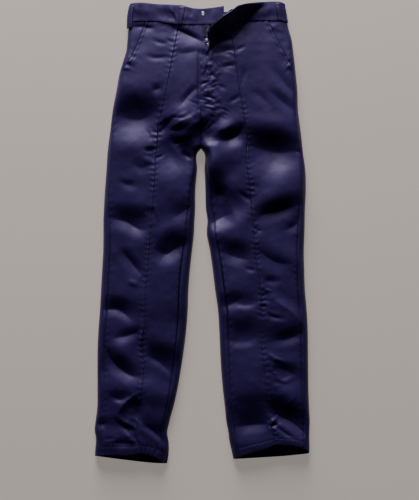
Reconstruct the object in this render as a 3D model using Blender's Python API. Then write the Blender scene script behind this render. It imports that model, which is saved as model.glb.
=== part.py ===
"""Work trousers lying flat on their back, fly open at the top, as a Blender model.

Sizes in the tables are millimetres. A place on the garment is (x, down): x runs to the
wearer's left, down runs from the waist to the hems. +Y of the model is towards the waist,
+Z is up from the surface that the trousers lie on. The right leg is the wearer's right.
"""
import math
from collections import namedtuple

import bmesh
import bpy
import numpy as np
from mathutils import Matrix, Vector
from mathutils.bvhtree import BVHTree

MM = 0.001

# Driving sizes
WAIST_Y = 528.85  # y of down = 0, so that the garment is centred on the origin
MIDDLE_X = 0.85  # the same for x = 0
CLOTH = 1.5  # wall of a single panel
BAND = 3.0  # wall of the waistband, which is two layers on an interlining
SEAM_GAP = 0.4
BAND_GAP = 0.7  # the steep corner by the fly brings the two walls nearer than this
BAND_RAISE = 0.8  # the band's face stands above the panels it is sewn to
LOWEST_TOP = 5.5  # the front never sinks nearer than this to the surface below
EASE_LOW = 3.0  # and is eased towards it over about this much
SIDE_UNDER = 6.0  # radius of the side folds below their widest line
SIDE_OVER = 16.0  # reach of the round side above it
INNER_OVER = 20.0  # the same on the inside of the legs
HIP_FALL = 0.2  # the hips and each leg are this part lower at their sides than in the middle
LEG_FALL = 0.2
CROTCH_DOWN = 334.0
PARTING_START = 246.0  # the one hip shape turns into two leg shapes from here
PARTING_REACH = 90.0
FOLD_FADE = 16.0  # folds fade out over this much towards the round sides
STEEP_SIDE = 0.45  # the lowest part of the round sides carries no folds
LAP_DROP = 2.6  # the right front's edge lies this much lower, under the left one
CREASE_RISE = 1.3  # the stitched crease stands this far above the leg
CREASE_HALF = 2.2
WARP_END = 140.0  # rows follow the waist seam down to here
HEM_START = 948.0  # rows follow the hem from here
HEM_DOWN = 1045.0
SHARP_EDGE = 40.0  # degrees: edges that turn more than this are drawn sharp

# Outline seen from above: down, side and inner edge of the right leg, then of the left leg
OUTLINE = np.array([
    (-5, -164, 0, 0, 186), (20, -168, 0, 0, 191), (58, -171, 0, 0, 198), (85, -173.5, 0, 0, 206),
    (108, -176, 0, 0, 209), (131, -183, 0, 0, 212), (154, -190, 0, 0, 214.5), (200, -199, 0, 0, 219),
    (246, -207.5, -3, -3, 220.5), (292, -213, -3.6, -3.4, 226.5), (333, -218.5, -3.7, -3.4, 231),
    (338, -219, -8, 0.5, 231.5), (384, -222, -12.5, 4.5, 237.5), (430, -225.5, -16.5, 6.5, 238.5),
    (476, -228, -17, 8, 236.5), (500, -229, -18.5, 11.5, 236), (526, -229, -19.5, 9.5, 235.5),
    (568, -229.5, -24, 17, 234), (614, -232, -29, 23.5, 235), (660, -234.5, -32.5, 29, 236.5),
    (706, -237, -34, 35.5, 240.5), (752, -240.5, -37.5, 38.5, 243), (798, -242.5, -43, 40.5, 243.5),
    (844, -242.7, -50, 43, 244), (890, -242.7, -58, 47, 244.5), (930, -243, -67, 51.5, 246),
    (966, -247.5, -77.5, 55.5, 247.5), (982, -249.3, -81.5, 59, 247), (1005, -246, -78, 62, 246.5),
    (1028, -247.5, -78.5, 67.5, 247), (1062, -249.5, -87, 74.5, 246.5)])

# Crease line of each front: down, x on the right leg, x on the left leg
CREASE = np.array([
    (35, -56, 77), (75, -62, 69), (112, -68.5, 75), (150, -75.5, 80), (187, -83, 85.5), (230, -91.5, 92),
    (283, -104, 101.5), (315, -106, 105.5), (345, -109, 103), (407, -111.5, 109), (470, -117, 115.5),
    (534, -122, 121), (610, -127.5, 127.7), (650, -132.5, 134.5), (740, -136, 138), (780, -141, 137),
    (833, -137, 144), (890, -141.5, 151), (932, -148, 163), (952, -149, 172), (970, -153, 158.5),
    (1000, -152, 166), (1045, -145, 168)])

# Height of the filled garment above the surface, folds apart: down, height
CROWN = np.array([
    (-5, 15), (20, 16), (60, 20), (110, 27), (200, 32), (300, 33), (400, 32), (600, 30), (800, 28),
    (930, 26), (990, 24), (1045, 21)])

# Edges across the garment: x, down
BAND_TOP_RIGHT = np.array([
    (-175, 3), (-165, 1), (-150, -0.5), (-100, 3), (-60, 5), (-45, 6), (-35, 9), (-20, 12.5), (0, 13.5),
    (20, 11.5), (48, 7.5)])
BAND_SEAM_RIGHT = np.array([(-175, 45), (-150, 41.5), (-105, 42), (-85, 46), (-55, 50), (0, 50), (48, 49)])
BAND_TOP_LEFT = np.array([
    (78, 12), (90, 8), (100, 5), (122, 1), (140, -2), (165, -3.2), (180, -2), (188, 0.5), (200, 3)])
BAND_SEAM_LEFT = np.array([
    (-4, 15), (6, 20), (14, 23), (30, 31), (48, 36), (60, 40), (85, 43), (110, 41), (150, 40), (200, 43)])
BACK_TOP = np.array([
    (-175, 3), (-165, 1), (-150, -0.5), (-100, 3), (-45, 6.5), (-20, 13), (0, 14.2), (75, 14.2), (90, 9),
    (122, 3), (140, 0), (188, 1.5), (200, 3)])
BACK_SEAM = np.array([(-200, 43.5), (-0.1, 52), (0.1, 52), (200, 43)])
HEM_FRONT_RIGHT = np.array([
    (-250, 1042), (-236, 1041), (-197, 1039.6), (-160, 1039), (-144, 1035.5), (-123, 1039), (-105, 1046.5),
    (-92, 1055.5), (-84, 1059)])
HEM_BACK_RIGHT = np.array([(-250, 1043.5), (-178, 1053), (-90, 1061), (-84, 1061)])
HEM_FRONT_LEFT = np.array([
    (73, 1049), (97, 1039.5), (123, 1031), (150, 1022.5), (169, 1015.5), (194, 1017), (220, 1020.5),
    (239, 1028), (247, 1034)])
HEM_BACK_LEFT = np.array([(73, 1051), (141, 1047), (194, 1043.5), (247, 1038)])

# Inner edge of the fronts above the crotch: row, x. The left one swings open above the zip.
RIGHT_EDGE = np.array([(45, 0), (238, 0), (246, -3.8), (333, -3.8)])
LEFT_EDGE = np.array([
    (45, 48), (62, 30), (74, 20), (85, 14), (100, 17), (110, 14), (120, 6), (130, -1), (140, -3.5),
    (333, -3.5)])

# Slanted pocket mouths: down, x on the right front, x on the left front
POCKET = np.array([(40, -126, 148), (49, -130, 151), (100, -150, 177), (125, -162, 191), (153, -182.5, 207.5)])
POCKET_END = 153.0

# How far inside the outline the seams lie: down, side seam, inside leg seam
SEAM_INSET = np.array([(0, 4, 1.2), (300, 5, 1.2), (340, 6, 1.2), (366, 8, 5), (400, 11, 9), (450, 14, 14),
                       (1100, 14, 14)])

ROWS = [45, 54, 62, 74, 85, 100, 110, 120, 130, 140, 149, 153, 163, 178, 192, 207, 222, 238, 246, 256, 268, 281,
        294, 307, 320, 333, 339, 352, 366, 382, 400, 418, 436, 454, 472, 488, 504, 520, 538, 556, 574, 592,
        610, 630, 652, 674, 696, 718, 740, 762, 784, 806, 828, 850, 872, 892, 912, 930, 948, 966, 984, 1002,
        1022, 1045]

# The raised corner beside the fly: a crest along the free edge, falling over `reach` to the front
CornerPoint = namedtuple("CornerPoint", "x down lift reach")
RAISED_CORNER = [
    CornerPoint(142, -2, 0, 8), CornerPoint(122, 2, 13, 17), CornerPoint(96, 5, 30, 30),
    CornerPoint(80, 10, 37, 38), CornerPoint(48, 36, 39, 50), CornerPoint(30, 50, 37, 52),
    CornerPoint(14, 72, 31, 50), CornerPoint(17, 91, 22, 40), CornerPoint(14, 105, 14, 30),
    CornerPoint(6, 115, 8, 20), CornerPoint(-3, 140, 0, 10)]

# Large folds. A walker on the path has `left` and `right` as the fold's reach to each hand, with
# the hems ahead when the path runs down. Lift is below zero for a trough and above it for a ridge.
Fold = namedtuple("Fold", "path left right lift crisp")
FOLDS = [
    # Below the waistband and on the hips
    Fold([(-170, 55), (-140, 54), (-98, 60)], 7, 16, -4, 0.6),
    Fold([(-98, 46), (-62, 62), (-30, 76), (4, 94)], 15, 12, -9, 0.8),
    Fold([(-66, 116), (-45, 117), (0, 108)], 10, 14, -2.5, 0.3),
    Fold([(-212, 254), (-178, 264), (-142, 268), (-96, 240)], 55, 26, -12, 0.4),
    Fold([(-118, 204), (-90, 195)], 12, 12, -4, 0.3),
    Fold([(-10, 192), (-28, 210), (-50, 238)], 9, 10, -4, 0.6),
    Fold([(30, 116), (52, 112), (74, 104)], 10, 12, -4, 0.4),
    Fold([(36, 150), (56, 147), (80, 144)], 8, 10, -3, 0.6),
    Fold([(160, 145), (185, 182), (214, 214)], 14, 12, -4, 0.3),
    Fold([(148, 196), (178, 224), (212, 250)], 14, 14, -4, 0.3),
    Fold([(112, 200), (140, 222), (160, 244)], 12, 14, -3, 0.2),
    # Thighs and the hollow between them
    Fold([(-12, 276), (2, 300), (2, 330)], 34, 34, -16, 0.2),
    Fold([(-104, 308), (-84, 284), (-60, 262)], 14, 18, -8, 0.5),
    Fold([(-82, 296), (-55, 292), (-30, 290)], 12, 12, -6, 0.4),
    Fold([(-84, 318), (-56, 344), (-22, 388)], 14, 16, 6, 0.3),
    Fold([(-50, 340), (-34, 368), (-20, 392)], 12, 14, -6, 0.3),
    Fold([(-134, 336), (-118, 352), (-112, 372)], 12, 10, -4, 0.5),
    Fold([(-165, 366), (-140, 380), (-112, 376)], 18, 14, -3, 0.3),
    Fold([(34, 316), (64, 314), (84, 300), (94, 276)], 22, 20, -11, 0.7),
    Fold([(20, 298), (52, 290), (78, 274)], 18, 18, 5, 0.5),
    Fold([(92, 322), (130, 334), (168, 344), (220, 340)], 55, 30, -15, 0.4),
    Fold([(26, 422), (38, 425), (52, 430)], 17, 13, -6, 0.4),
    Fold([(10, 512), (36, 498), (72, 482)], 45, 26, -10, 0.6),
    # Knees
    Fold([(-212, 496), (-176, 503), (-146, 520), (-122, 526)], 32, 20, -9, 0.7),
    Fold([(-112, 562), (-86, 578), (-60, 564), (-34, 552)], 38, 20, -9, 0.6),
    Fold([(-72, 498), (-44, 480), (-20, 464)], 22, 16, -5, 0.3),
    Fold([(-186, 566), (-160, 600), (-138, 628)], 14, 18, -7, 0.7),
    Fold([(120, 498), (146, 484), (178, 476), (214, 468)], 34, 20, -10, 0.7),
    Fold([(184, 524), (212, 512), (224, 470)], 14, 14, -5, 0.5),
    Fold([(118, 556), (142, 580), (176, 598), (214, 600)], 36, 22, -9, 0.4),
    Fold([(42, 572), (76, 584), (112, 592)], 34, 18, -7, 0.5),
    Fold([(136, 640), (156, 640), (178, 640)], 12, 12, -5, 0.6),
    Fold([(150, 662), (176, 690), (202, 708), (238, 748)], 16, 16, 5, 0.5),
    Fold([(40, 700), (62, 694), (92, 676)], 22, 14, -5, 0.4),
    # Shins and cuffs
    Fold([(-236, 706), (-192, 706), (-160, 732)], 24, 14, -7, 0.6),
    Fold([(-206, 772), (-170, 764), (-140, 752)], 14, 14, -5, 0.5),
    Fold([(-228, 782), (-200, 830), (-170, 854), (-136, 862)], 24, 18, -10, 0.7),
    Fold([(-138, 820), (-108, 842), (-68, 878)], 34, 20, 7, 0.6),
    Fold([(-144, 894), (-172, 912), (-198, 948)], 14, 26, 7, 0.8),
    Fold([(-146, 912), (-150, 940), (-154, 968)], 16, 26, -7, 0.4),
    Fold([(-146, 958), (-112, 986), (-78, 1018)], 30, 16, -7, 0.4),
    Fold([(-252, 970), (-216, 968)], 14, 12, -5, 0.5),
    Fold([(-202, 960), (-180, 976), (-158, 984)], 12, 12, -5, 0.6),
    Fold([(-204, 1012), (-166, 1014)], 14, 10, -3, 0.5),
    Fold([(160, 778), (200, 770), (234, 756)], 16, 14, -5, 0.3),
    Fold([(148, 836), (178, 840), (214, 856)], 18, 16, -5, 0.4),
    Fold([(158, 906), (170, 946), (204, 964), (244, 1000)], 46, 14, -12, 0.7),
    Fold([(72, 976), (112, 971), (158, 968)], 34, 16, -8, 0.5),
]

BAND_END = 48.0  # the right band's front end, x
LEFT_CORNER = 80.0  # x of the left band's top corner, which is swung open
CREASE_COLUMNS = (5, 6)  # cells from the inner edge to the crease, and from the crease outwards

# Metal at the fastening: places and sizes
EYE_BAR = dict(at=(1.0, 27.0), width=5.5, length=15.0, thick=1.4, bevel=0.5)
HOOK = dict(levels=(0.7, 0.95, 1.2), out=3.5, into=4.0, gap=0.4, thick=1.2)
SLIDER = dict(at=(9.5, 88.0), width=7.0, length=9.0, thick=3.2, bevel=0.8)
PULL = dict(width=4.4, length=14.0, thick=1.2, toward=(4.5, 13.0), clear=1.6, gap=0.4, bevel=0.4)
METAL_GAP = 0.3  # the bar and the slider lie this far above the cloth

# Zip tapes: the right one lies on the shield, the left one under the left front's free edge
TAPE_RIGHT = dict(x=5.0, downs=(54, 60, 66, 72, 78), width=5.0, thick=1.2, gap=0.6)
TAPE_LEFT = dict(levels=(0.3, 1, 2, 3, 4), out=2.4, into=2.6, gap=1.1, thick=1.2)

# Fly shield: down, x of its free edge, and the rows that it is made on
SHIELD_EDGE = np.array([(52, 40), (62, 36), (74, 27), (85, 21), (100, 18), (110, 12), (117, 7)])
SHIELD_ROWS = np.array([52, 62, 74, 85, 93, 100, 110, 117])
SHIELD_COLUMNS = 5

# Belt loops
LOOP_WIDTH = 10.0
LOOP_THICK = 1.5
LOOP_GAP = 0.8
LOOP_ARCH = 1.4
LOOP_POINTS = 8
LOOP_ABOVE = 3.0  # starts this far below the band's top edge
LOOP_BELOW = 1.0  # and ends this far above its seam
FrontLoop = namedtuple("FrontLoop", "name x top seam lean")
FRONT_LOOPS = [
    FrontLoop("loop_front_right", -49.0, BAND_TOP_RIGHT, BAND_SEAM_RIGHT, 0.0),
    FrontLoop("loop_front_left", 91.0, BAND_TOP_LEFT, BAND_SEAM_LEFT, -6.0),
    FrontLoop("loop_side_left", 174.0, BAND_TOP_LEFT, BAND_SEAM_LEFT, 4.0)]
SIDE_LOOP = dict(start=5, length=51, gap=0.9, arch=1.2, points=6, turns=(1.15, 0.7, 0.25, -0.2, -0.6))

COLOURS = {
    "twill": ((0.016, 0.013, 0.036, 1), 0.9, 0.0), "tape": ((0.01, 0.01, 0.014, 1), 0.85, 0.0),
    "steel": ((0.55, 0.56, 0.6, 1), 0.35, 1.0), "zip_metal": ((0.35, 0.35, 0.38, 1), 0.4, 1.0)}

GRIDS = {}  # outer and inner points of each wall, for what is laid on it


def smooth(value):
    """Ease from 0 to 1 with level ends."""
    value = np.clip(value, 0.0, 1.0)
    return value * value * (3.0 - 2.0 * value)


def curve(table, column, at):
    """Read a table's column with a smooth curve through its rows."""
    xs = table[:, 0]
    ys = table[:, column]
    slopes = np.gradient(ys, xs)
    at = np.clip(np.asarray(at, float), xs[0], xs[-1])
    k = np.clip(np.searchsorted(xs, at) - 1, 0, len(xs) - 2)
    span = xs[k + 1] - xs[k]
    t = (at - xs[k]) / span
    return ((1 + 2 * t) * (1 - t) ** 2 * ys[k] + t * (1 - t) ** 2 * span * slopes[k]
            + t * t * (3 - 2 * t) * ys[k + 1] + t * t * (t - 1) * span * slopes[k + 1])


def along_path(x, down, points):
    """Distance to a path of (x, down), the hand it lies on, and how far along the path it is."""
    points = np.asarray(points, float)
    lengths = np.hypot(*np.diff(points, axis=0).T)
    starts = np.concatenate([[0.0], np.cumsum(lengths)])
    nearest = np.full(x.shape, 1e9)
    hand = np.zeros(x.shape)
    run = np.zeros(x.shape)
    for (ax, ad), (bx, bd), length, start in zip(points, points[1:], lengths, starts):
        t = np.clip(((x - ax) * (bx - ax) + (down - ad) * (bd - ad)) / length ** 2, 0, 1)
        off_x = x - ax - t * (bx - ax)
        off_down = down - ad - t * (bd - ad)
        distance = np.hypot(off_x, off_down)
        closer = distance < nearest
        nearest = np.where(closer, distance, nearest)
        hand = np.where(closer, np.sign((bx - ax) * off_down - (bd - ad) * off_x), hand)
        run = np.where(closer, start + t * length, run)
    return nearest, hand, run, starts


def fold_height(x, down, fold):
    """Height that one fold adds: full on its path, none past its reach and at its ends."""
    nearest, hand, run, starts = along_path(x, down, fold.path)
    reach = np.where(hand > 0, fold.right, fold.left)
    rest = np.clip(1.0 - nearest / reach, 0.0, 1.0)
    across = (1 - fold.crisp) * smooth(rest) + fold.crisp * rest ** 2
    ends = smooth(np.minimum(run, starts[-1] - run) / (0.22 * starts[-1]) * 0.8 + 0.2)
    return fold.lift * across * ends


def corner_height(x, down):
    """Height of the raised corner beside the fly above the front it belongs to."""
    path = [(point.x, point.down) for point in RAISED_CORNER]
    nearest, _, run, starts = along_path(x, down, path)
    lift = np.interp(run, starts, [point.lift for point in RAISED_CORNER])
    reach = np.interp(run, starts, [point.reach for point in RAISED_CORNER])
    return lift * np.clip(1.0 - nearest / reach, 0.0, 1.0) ** 1.5


def edge_x(side, down, inner=False):
    """x of the side edge or the inner edge of a leg."""
    column = {(-1, False): 1, (-1, True): 2, (1, True): 3, (1, False): 4}[(side, inner)]
    return curve(OUTLINE, column, down)


def round_off(depth, reach):
    """Quarter round from 0 at an edge to 1 at its reach."""
    rest = np.clip(1.0 - depth / reach, 0.0, 1.0)
    return np.sqrt(np.clip(1.0 - rest ** 2, 0.0, 1.0))


def top_height(side, x, down):
    """Height of the cloth's upper face at (x, down) on one half: side is -1 right, 1 left."""
    x = np.asarray(x, float)
    down = np.asarray(down, float)
    x, down = np.broadcast_arrays(x, down)
    outer = edge_x(side, down)
    inner = edge_x(side, down, inner=True)
    crown = curve(CROWN, 1, down)
    across_leg = np.clip((x - outer) / (inner - outer), 0, 1)
    middle = 0.5 * (edge_x(-1, down) + edge_x(1, down))
    across_hip = (x - middle) / (0.5 * (edge_x(1, down) - edge_x(-1, down)))
    hip = crown * (1 - HIP_FALL * across_hip ** 2)
    leg = crown * (1 - LEG_FALL * (2 * across_leg - 1) ** 2)
    parting = smooth((down - PARTING_START) / PARTING_REACH)
    inner_round = 1 - parting * (1 - round_off(side * (x - inner), INNER_OVER))
    full = (1 - parting) * hip + parting * leg
    rounding = round_off(side * (outer - x), SIDE_OVER) * inner_round
    folds = sum(fold_height(x, down, fold) for fold in FOLDS)
    inner_fade = smooth(side * (x - inner) / FOLD_FADE)
    edges = smooth(side * (outer - x) / FOLD_FADE) * (1 - parting * (1 - inner_fade))
    height = SIDE_UNDER + (full - SIDE_UNDER) * rounding + folds * edges
    above = height - LOWEST_TOP
    height = LOWEST_TOP + 0.5 * (above + np.sqrt(above ** 2 + EASE_LOW ** 2)) - 0.4
    steep = SIDE_UNDER + (height - SIDE_UNDER) * rounding / STEEP_SIDE
    height = np.where(rounding < STEEP_SIDE, steep, height)
    if side > 0:
        height = height + corner_height(x, down)
    if side < 0:
        under = smooth((x + 15.0) / 8.0) * smooth((down - 104.0) / 14.0) * smooth((254.0 - down) / 6.0)
        height = height - LAP_DROP * under
    return height


def place(x, down, height):
    """A point in metres from (x, down, height) in millimetres."""
    x, down, height = np.broadcast_arrays(x, down, height)
    return np.stack([x + MIDDLE_X, WAIST_Y - down, height], axis=-1) * MM


def top_normal(side, x, down, step=1.5):
    """Unit normal of the upper face."""
    slope_x = (top_height(side, x + step, down) - top_height(side, x - step, down)) / (2 * step)
    slope_d = (top_height(side, x, down + step) - top_height(side, x, down - step)) / (2 * step)
    normal = np.stack([-slope_x, slope_d, np.ones_like(slope_x)], axis=-1)
    return normal / np.linalg.norm(normal, axis=-1, keepdims=True)


def warped(row, x, seam, hem):
    """Where a row crosses x: it follows the waist seam at the top and the hem at the bottom."""
    top = np.clip(1 - (row - ROWS[0]) / (WARP_END - ROWS[0]), 0, 1)
    bottom = np.clip((row - HEM_START) / (HEM_DOWN - HEM_START), 0, 1)
    return row + (np.interp(x, *seam.T) - ROWS[0]) * top + (curve(hem, 1, x) - HEM_DOWN) * bottom


def seam_x(side, row, inner=False):
    """x of the side seam or of the inside leg seam on a row below the crotch."""
    if inner:
        return edge_x(side, row, inner=True) + side * curve(SEAM_INSET, 2, row)
    return edge_x(side, row) - side * curve(SEAM_INSET, 1, row)


def front_tables(side):
    """The waist seam and the hem that a front's rows follow."""
    return (BAND_SEAM_LEFT, HEM_FRONT_LEFT) if side > 0 else (BAND_SEAM_RIGHT, HEM_FRONT_RIGHT)


def front_inner(side, row):
    """x of a front's inner edge on a row."""
    if row > CROTCH_DOWN:
        return float(seam_x(side, row, inner=True))
    table = LEFT_EDGE if side > 0 else RIGHT_EDGE
    return float(np.interp(row, table[:, 0], table[:, 1]))


def front_outer(side, row):
    """x of a front's outer edge on a row: the pocket mouth, then the side seam."""
    if row <= POCKET_END:
        return float(np.interp(row, POCKET[:, 0], POCKET[:, 1 if side < 0 else 2]))
    return float(seam_x(side, row))


def shell(name, outer, inner, material):
    """Closed wall between two grids of points of one shape, joined round their edges."""
    GRIDS[name] = (outer, inner)
    rows, columns = outer.shape[:2]
    mesh = bmesh.new()
    face, back = [[[mesh.verts.new(point) for point in line] for line in grid] for grid in (outer, inner)]
    for r in range(rows - 1):
        for c in range(columns - 1):
            mesh.faces.new((face[r][c], face[r][c + 1], face[r + 1][c + 1], face[r + 1][c]))
            mesh.faces.new((back[r + 1][c], back[r + 1][c + 1], back[r][c + 1], back[r][c]))
    border = [(0, c) for c in range(columns)] + [(r, columns - 1) for r in range(1, rows)]
    border += [(rows - 1, c) for c in range(columns - 2, -1, -1)] + [(r, 0) for r in range(rows - 2, 0, -1)]
    for (r0, c0), (r1, c1) in zip(border, border[1:] + border[:1]):
        mesh.faces.new((face[r1][c1], face[r0][c0], back[r0][c0], back[r1][c1]))
    if mesh.calc_volume(signed=True) < 0:
        bmesh.ops.reverse_faces(mesh, faces=mesh.faces)
    return finish_mesh(name, mesh, material)


def finish_mesh(name, mesh, material):
    """Turn a finished wall into an object with its material."""
    data = bpy.data.meshes.new(name)
    mesh.to_mesh(data)
    mesh.free()
    piece = bpy.data.objects.new(name, data)
    data.materials.append(MATERIALS[material])
    PARTS.objects.link(piece)
    data.shade_smooth()
    data.set_sharp_from_angle(angle=math.radians(SHARP_EDGE))
    return piece


def front_columns(side, row):
    """x of a front's columns on one row: to the crease, the crease itself, and on to the outer edge."""
    before, after = CREASE_COLUMNS
    crease = float(curve(CREASE, 1 if side < 0 else 2, row))
    x = np.concatenate([np.linspace(front_inner(side, row), crease - side * CREASE_HALF, before + 1), [crease],
                        np.linspace(crease + side * CREASE_HALF, front_outer(side, row), after + 1)])
    x[-1] -= side * SEAM_GAP / 2
    if row > CROTCH_DOWN:
        x[0] += side * SEAM_GAP / 2
    return x


def make_front(name, side):
    """One front: rows down the leg, columns from its inner edge over the crease to the pocket or seam."""
    seam, hem = front_tables(side)
    x = np.array([front_columns(side, row) for row in ROWS])
    down = np.array([warped(row, line, seam, hem) for row, line in zip(ROWS, x)])
    down[0] += BAND_GAP
    rise = np.zeros(x.shape[1])
    rise[CREASE_COLUMNS[0] + 1] = CREASE_RISE
    height = top_height(side, x, down)
    below = place(x, down, height) - CLOTH * MM * top_normal(side, x, down)
    return shell(name, place(x, down, height + rise), below, "twill")


def make_pocket_facing(name, side):
    """The piece that shows behind the slanted pocket mouth, out to the side seam."""
    seam, hem = front_tables(side)
    rows = [row for row in ROWS if row < POCKET_END]
    x = np.array([np.linspace(front_outer(side, row) + side * SEAM_GAP / 2,
                              float(seam_x(side, row)) - side * SEAM_GAP / 2, 4) for row in rows])
    down = np.array([warped(row, line, seam, hem) for row, line in zip(rows, x)])
    down[0] += BAND_GAP
    face = place(x, down, top_height(side, x, down))
    return shell(name, face, face - CLOTH * MM * top_normal(side, x, down), "twill")


def side_turn(side, down, inner, turns):
    """Section points round a side fold. A turn is an angle: above 0 over the fold, below 0 under it."""
    edge = edge_x(side, down, inner=inner)
    inward = side if inner else -side
    x = []
    z = []
    for turn in turns:
        if turn > 0:
            at = edge + inward * (INNER_OVER if inner else SIDE_OVER) * (1 - math.cos(turn))
            z.append(float(top_height(side, at, down)))
        else:
            at = edge + inward * SIDE_UNDER * (1 - math.cos(turn))
            z.append(SIDE_UNDER * (1 + math.sin(turn)))
        x.append(float(at))
    return x, z


def turn_at(inset, reach):
    """The angle round a side fold of that reach which lies that far inside its widest line."""
    return math.acos(1 - min(inset / reach, 1))


def grid_normals(points, side):
    """Outward unit normals of a grid whose columns run from the side seam round under the leg."""
    across = np.gradient(points, axis=1)
    along = np.gradient(points, axis=0)
    normal = -side * np.cross(across, along)
    normal /= np.linalg.norm(normal, axis=-1, keepdims=True)
    return normal


def make_back(name, side):
    """One back: from the side seam, round the side fold, along the surface, to the centre or inside leg."""
    hem_front = front_tables(side)[1]
    hem_back = HEM_BACK_LEFT if side > 0 else HEM_BACK_RIGHT
    seam_front = front_tables(side)[0]
    points, first, last = [], [], []
    under = [-math.pi / 4, -math.pi / 2]
    for row in ROWS:
        start = turn_at(float(curve(SEAM_INSET, 1, row)), SIDE_OVER)
        x, z = side_turn(side, row, False, [start, start / 2, 0.0] + under)
        if row > CROTCH_DOWN:
            end = turn_at(float(curve(SEAM_INSET, 2, row)), INNER_OVER)
            x2, z2 = side_turn(side, row, True, [-math.pi / 2, -math.pi / 4, 0.0, end / 2, end])
        else:
            x2 = [side * step for step in (6.0, 4.5, 3.0, 1.5, 0.0)]
            z2 = [0.0] * 5
        x = np.array(x + x2)
        z = np.array(z + z2)
        x[0] += side * SEAM_GAP / 2
        x[-1] += side * SEAM_GAP / 2 * (-1 if row > CROTCH_DOWN else 1)
        on_top = np.array([1, 0.8, 0.5, 0.2, 0] + ([0, 0.2, 0.5, 0.8, 1] if row > CROTCH_DOWN else [0] * 5))
        front = warped(row, x, seam_front, hem_front)
        back = warped(row, x, BACK_SEAM, hem_back)
        down = on_top * front + (1 - on_top) * back + (BAND_GAP if row == ROWS[0] else 0)
        z[0] = top_height(side, x[0], down[0])
        first.append((x[0], down[0]))
        if row > CROTCH_DOWN:
            z[-1] = top_height(side, x[-1], down[-1])
        last.append((x[-1], down[-1]))
        points.append(place(x, down, z))
    points = np.array(points)
    normals = grid_normals(points, side)
    first = np.array(first)
    last = np.array(last)
    normals[:, 0] = top_normal(side, first[:, 0], first[:, 1])
    below_crotch = np.array(ROWS) > CROTCH_DOWN
    normals[:, -1] = np.where(below_crotch[:, None], top_normal(side, last[:, 0], last[:, 1]), (0, 0, -1))
    flat = points[..., 2] < 1e-7
    normals[flat] = (0, 0, -1)
    return shell(name, points, points - CLOTH * MM * normals, "twill")


def make_waistband(name, side):
    """Half of the waistband: from its front end, round the side fold, along the surface to the centre back."""
    top = BAND_TOP_LEFT if side > 0 else BAND_TOP_RIGHT
    seam = BAND_SEAM_LEFT if side > 0 else BAND_SEAM_RIGHT
    outer = float(seam_x(side, ROWS[0]))
    lower = np.concatenate([front_columns(side, ROWS[0])[:-1], np.linspace(front_outer(side, ROWS[0]), outer, 4)])
    if side < 0:
        lower = np.concatenate([[BAND_END, 36, 24, 12], lower])
    upper = lower + (LEFT_CORNER - lower[0]) * np.clip((outer - lower) / (outer - lower[0]), 0, 1) * (side > 0)
    turns = [0.0, -math.pi / 4, -math.pi / 2]
    floor_x = [side * 120.0, side * 60.0, side * SEAM_GAP / 2]
    on_top = np.array([0.5, 0.2, 0, 0, 0, 0])
    rows, normals = [], []
    for level in (0.0, 0.5, 1.0):
        x = upper + (lower - upper) * level
        down = (1 - level) * curve(top, 1, upper) + level * np.interp(lower, *seam.T)
        normals.append(top_normal(side, x, down))
        face = place(x, down, top_height(side, x, down) + BAND_RAISE)
        wrap_x, wrap_z = side_turn(side, down[-1], False, turns)
        back_x = np.array(wrap_x + floor_x)
        back_x[:3] += side * BAND_RAISE * np.cos(turns)
        front_down = (1 - level) * curve(top, 1, back_x) + level * np.interp(back_x, *seam.T)
        back_down = (1 - level) * curve(BACK_TOP, 1, back_x) + level * np.interp(back_x, *BACK_SEAM.T)
        back_z = np.array(wrap_z + [0.0] * 3)
        rows.append(np.concatenate([face, place(back_x, on_top * front_down + (1 - on_top) * back_down, back_z)]))
    points = np.array(rows)
    turned = grid_normals(points, side)
    turned[:, :len(lower)] = np.array(normals)
    turned[points[..., 2] < 1e-7] = (0, 0, -1)
    return shell(name, points, points - BAND * MM * turned, "twill")


def surface_below(pieces):
    """Returns a function that drops onto the pieces' faces and gives the height there."""
    trees = []
    for piece in pieces:
        mesh = bmesh.new()
        mesh.from_mesh(piece.data)
        trees.append(BVHTree.FromBMesh(mesh))
        mesh.free()

    def drop(x, down):
        start = Vector(((x + MIDDLE_X) * MM, (WAIST_Y - down) * MM, 0.2))
        hits = [tree.ray_cast(start, Vector((0, 0, -1)))[0] for tree in trees]
        return max((hit.z / MM for hit in hits if hit is not None), default=0.0)
    return drop


def strip_on(name, drop, line, width, thick, gap, arch, material):
    """A flat strip laid along a line of (x, down) on the cloth, arched between its ends."""
    line = [np.array(point, float) for point in line]
    outer, inner = [], []
    for k, point in enumerate(line):
        ahead = line[min(k + 1, len(line) - 1)] - line[max(k - 1, 0)]
        across = np.array([ahead[1], -ahead[0]]) / np.hypot(*ahead)
        rise = arch * math.sin(math.pi * k / (len(line) - 1))
        places = [point + across * width * part for part in (-0.5, 0.0, 0.5)]
        heights = [drop(*spot) + gap + rise for spot in places]
        outer.append([place(spot[0], spot[1], height + thick) for spot, height in zip(places, heights)])
        inner.append([place(spot[0], spot[1], height) for spot, height in zip(places, heights)])
    return shell(name, np.array(outer), np.array(inner), material)


def make_front_loops(drop):
    """Belt loops on the fronts, from the band's top edge to just below its seam."""
    for loop in FRONT_LOOPS:
        start = float(curve(loop.top, 1, loop.x)) + LOOP_ABOVE
        end = float(np.interp(loop.x, *loop.seam.T)) - LOOP_BELOW
        line = [(loop.x + loop.lean * part, start + (end - start) * part)
                for part in np.linspace(0, 1, LOOP_POINTS)]
        strip_on(loop.name, drop, line, LOOP_WIDTH, LOOP_THICK, LOOP_GAP, LOOP_ARCH, "twill")


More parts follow.
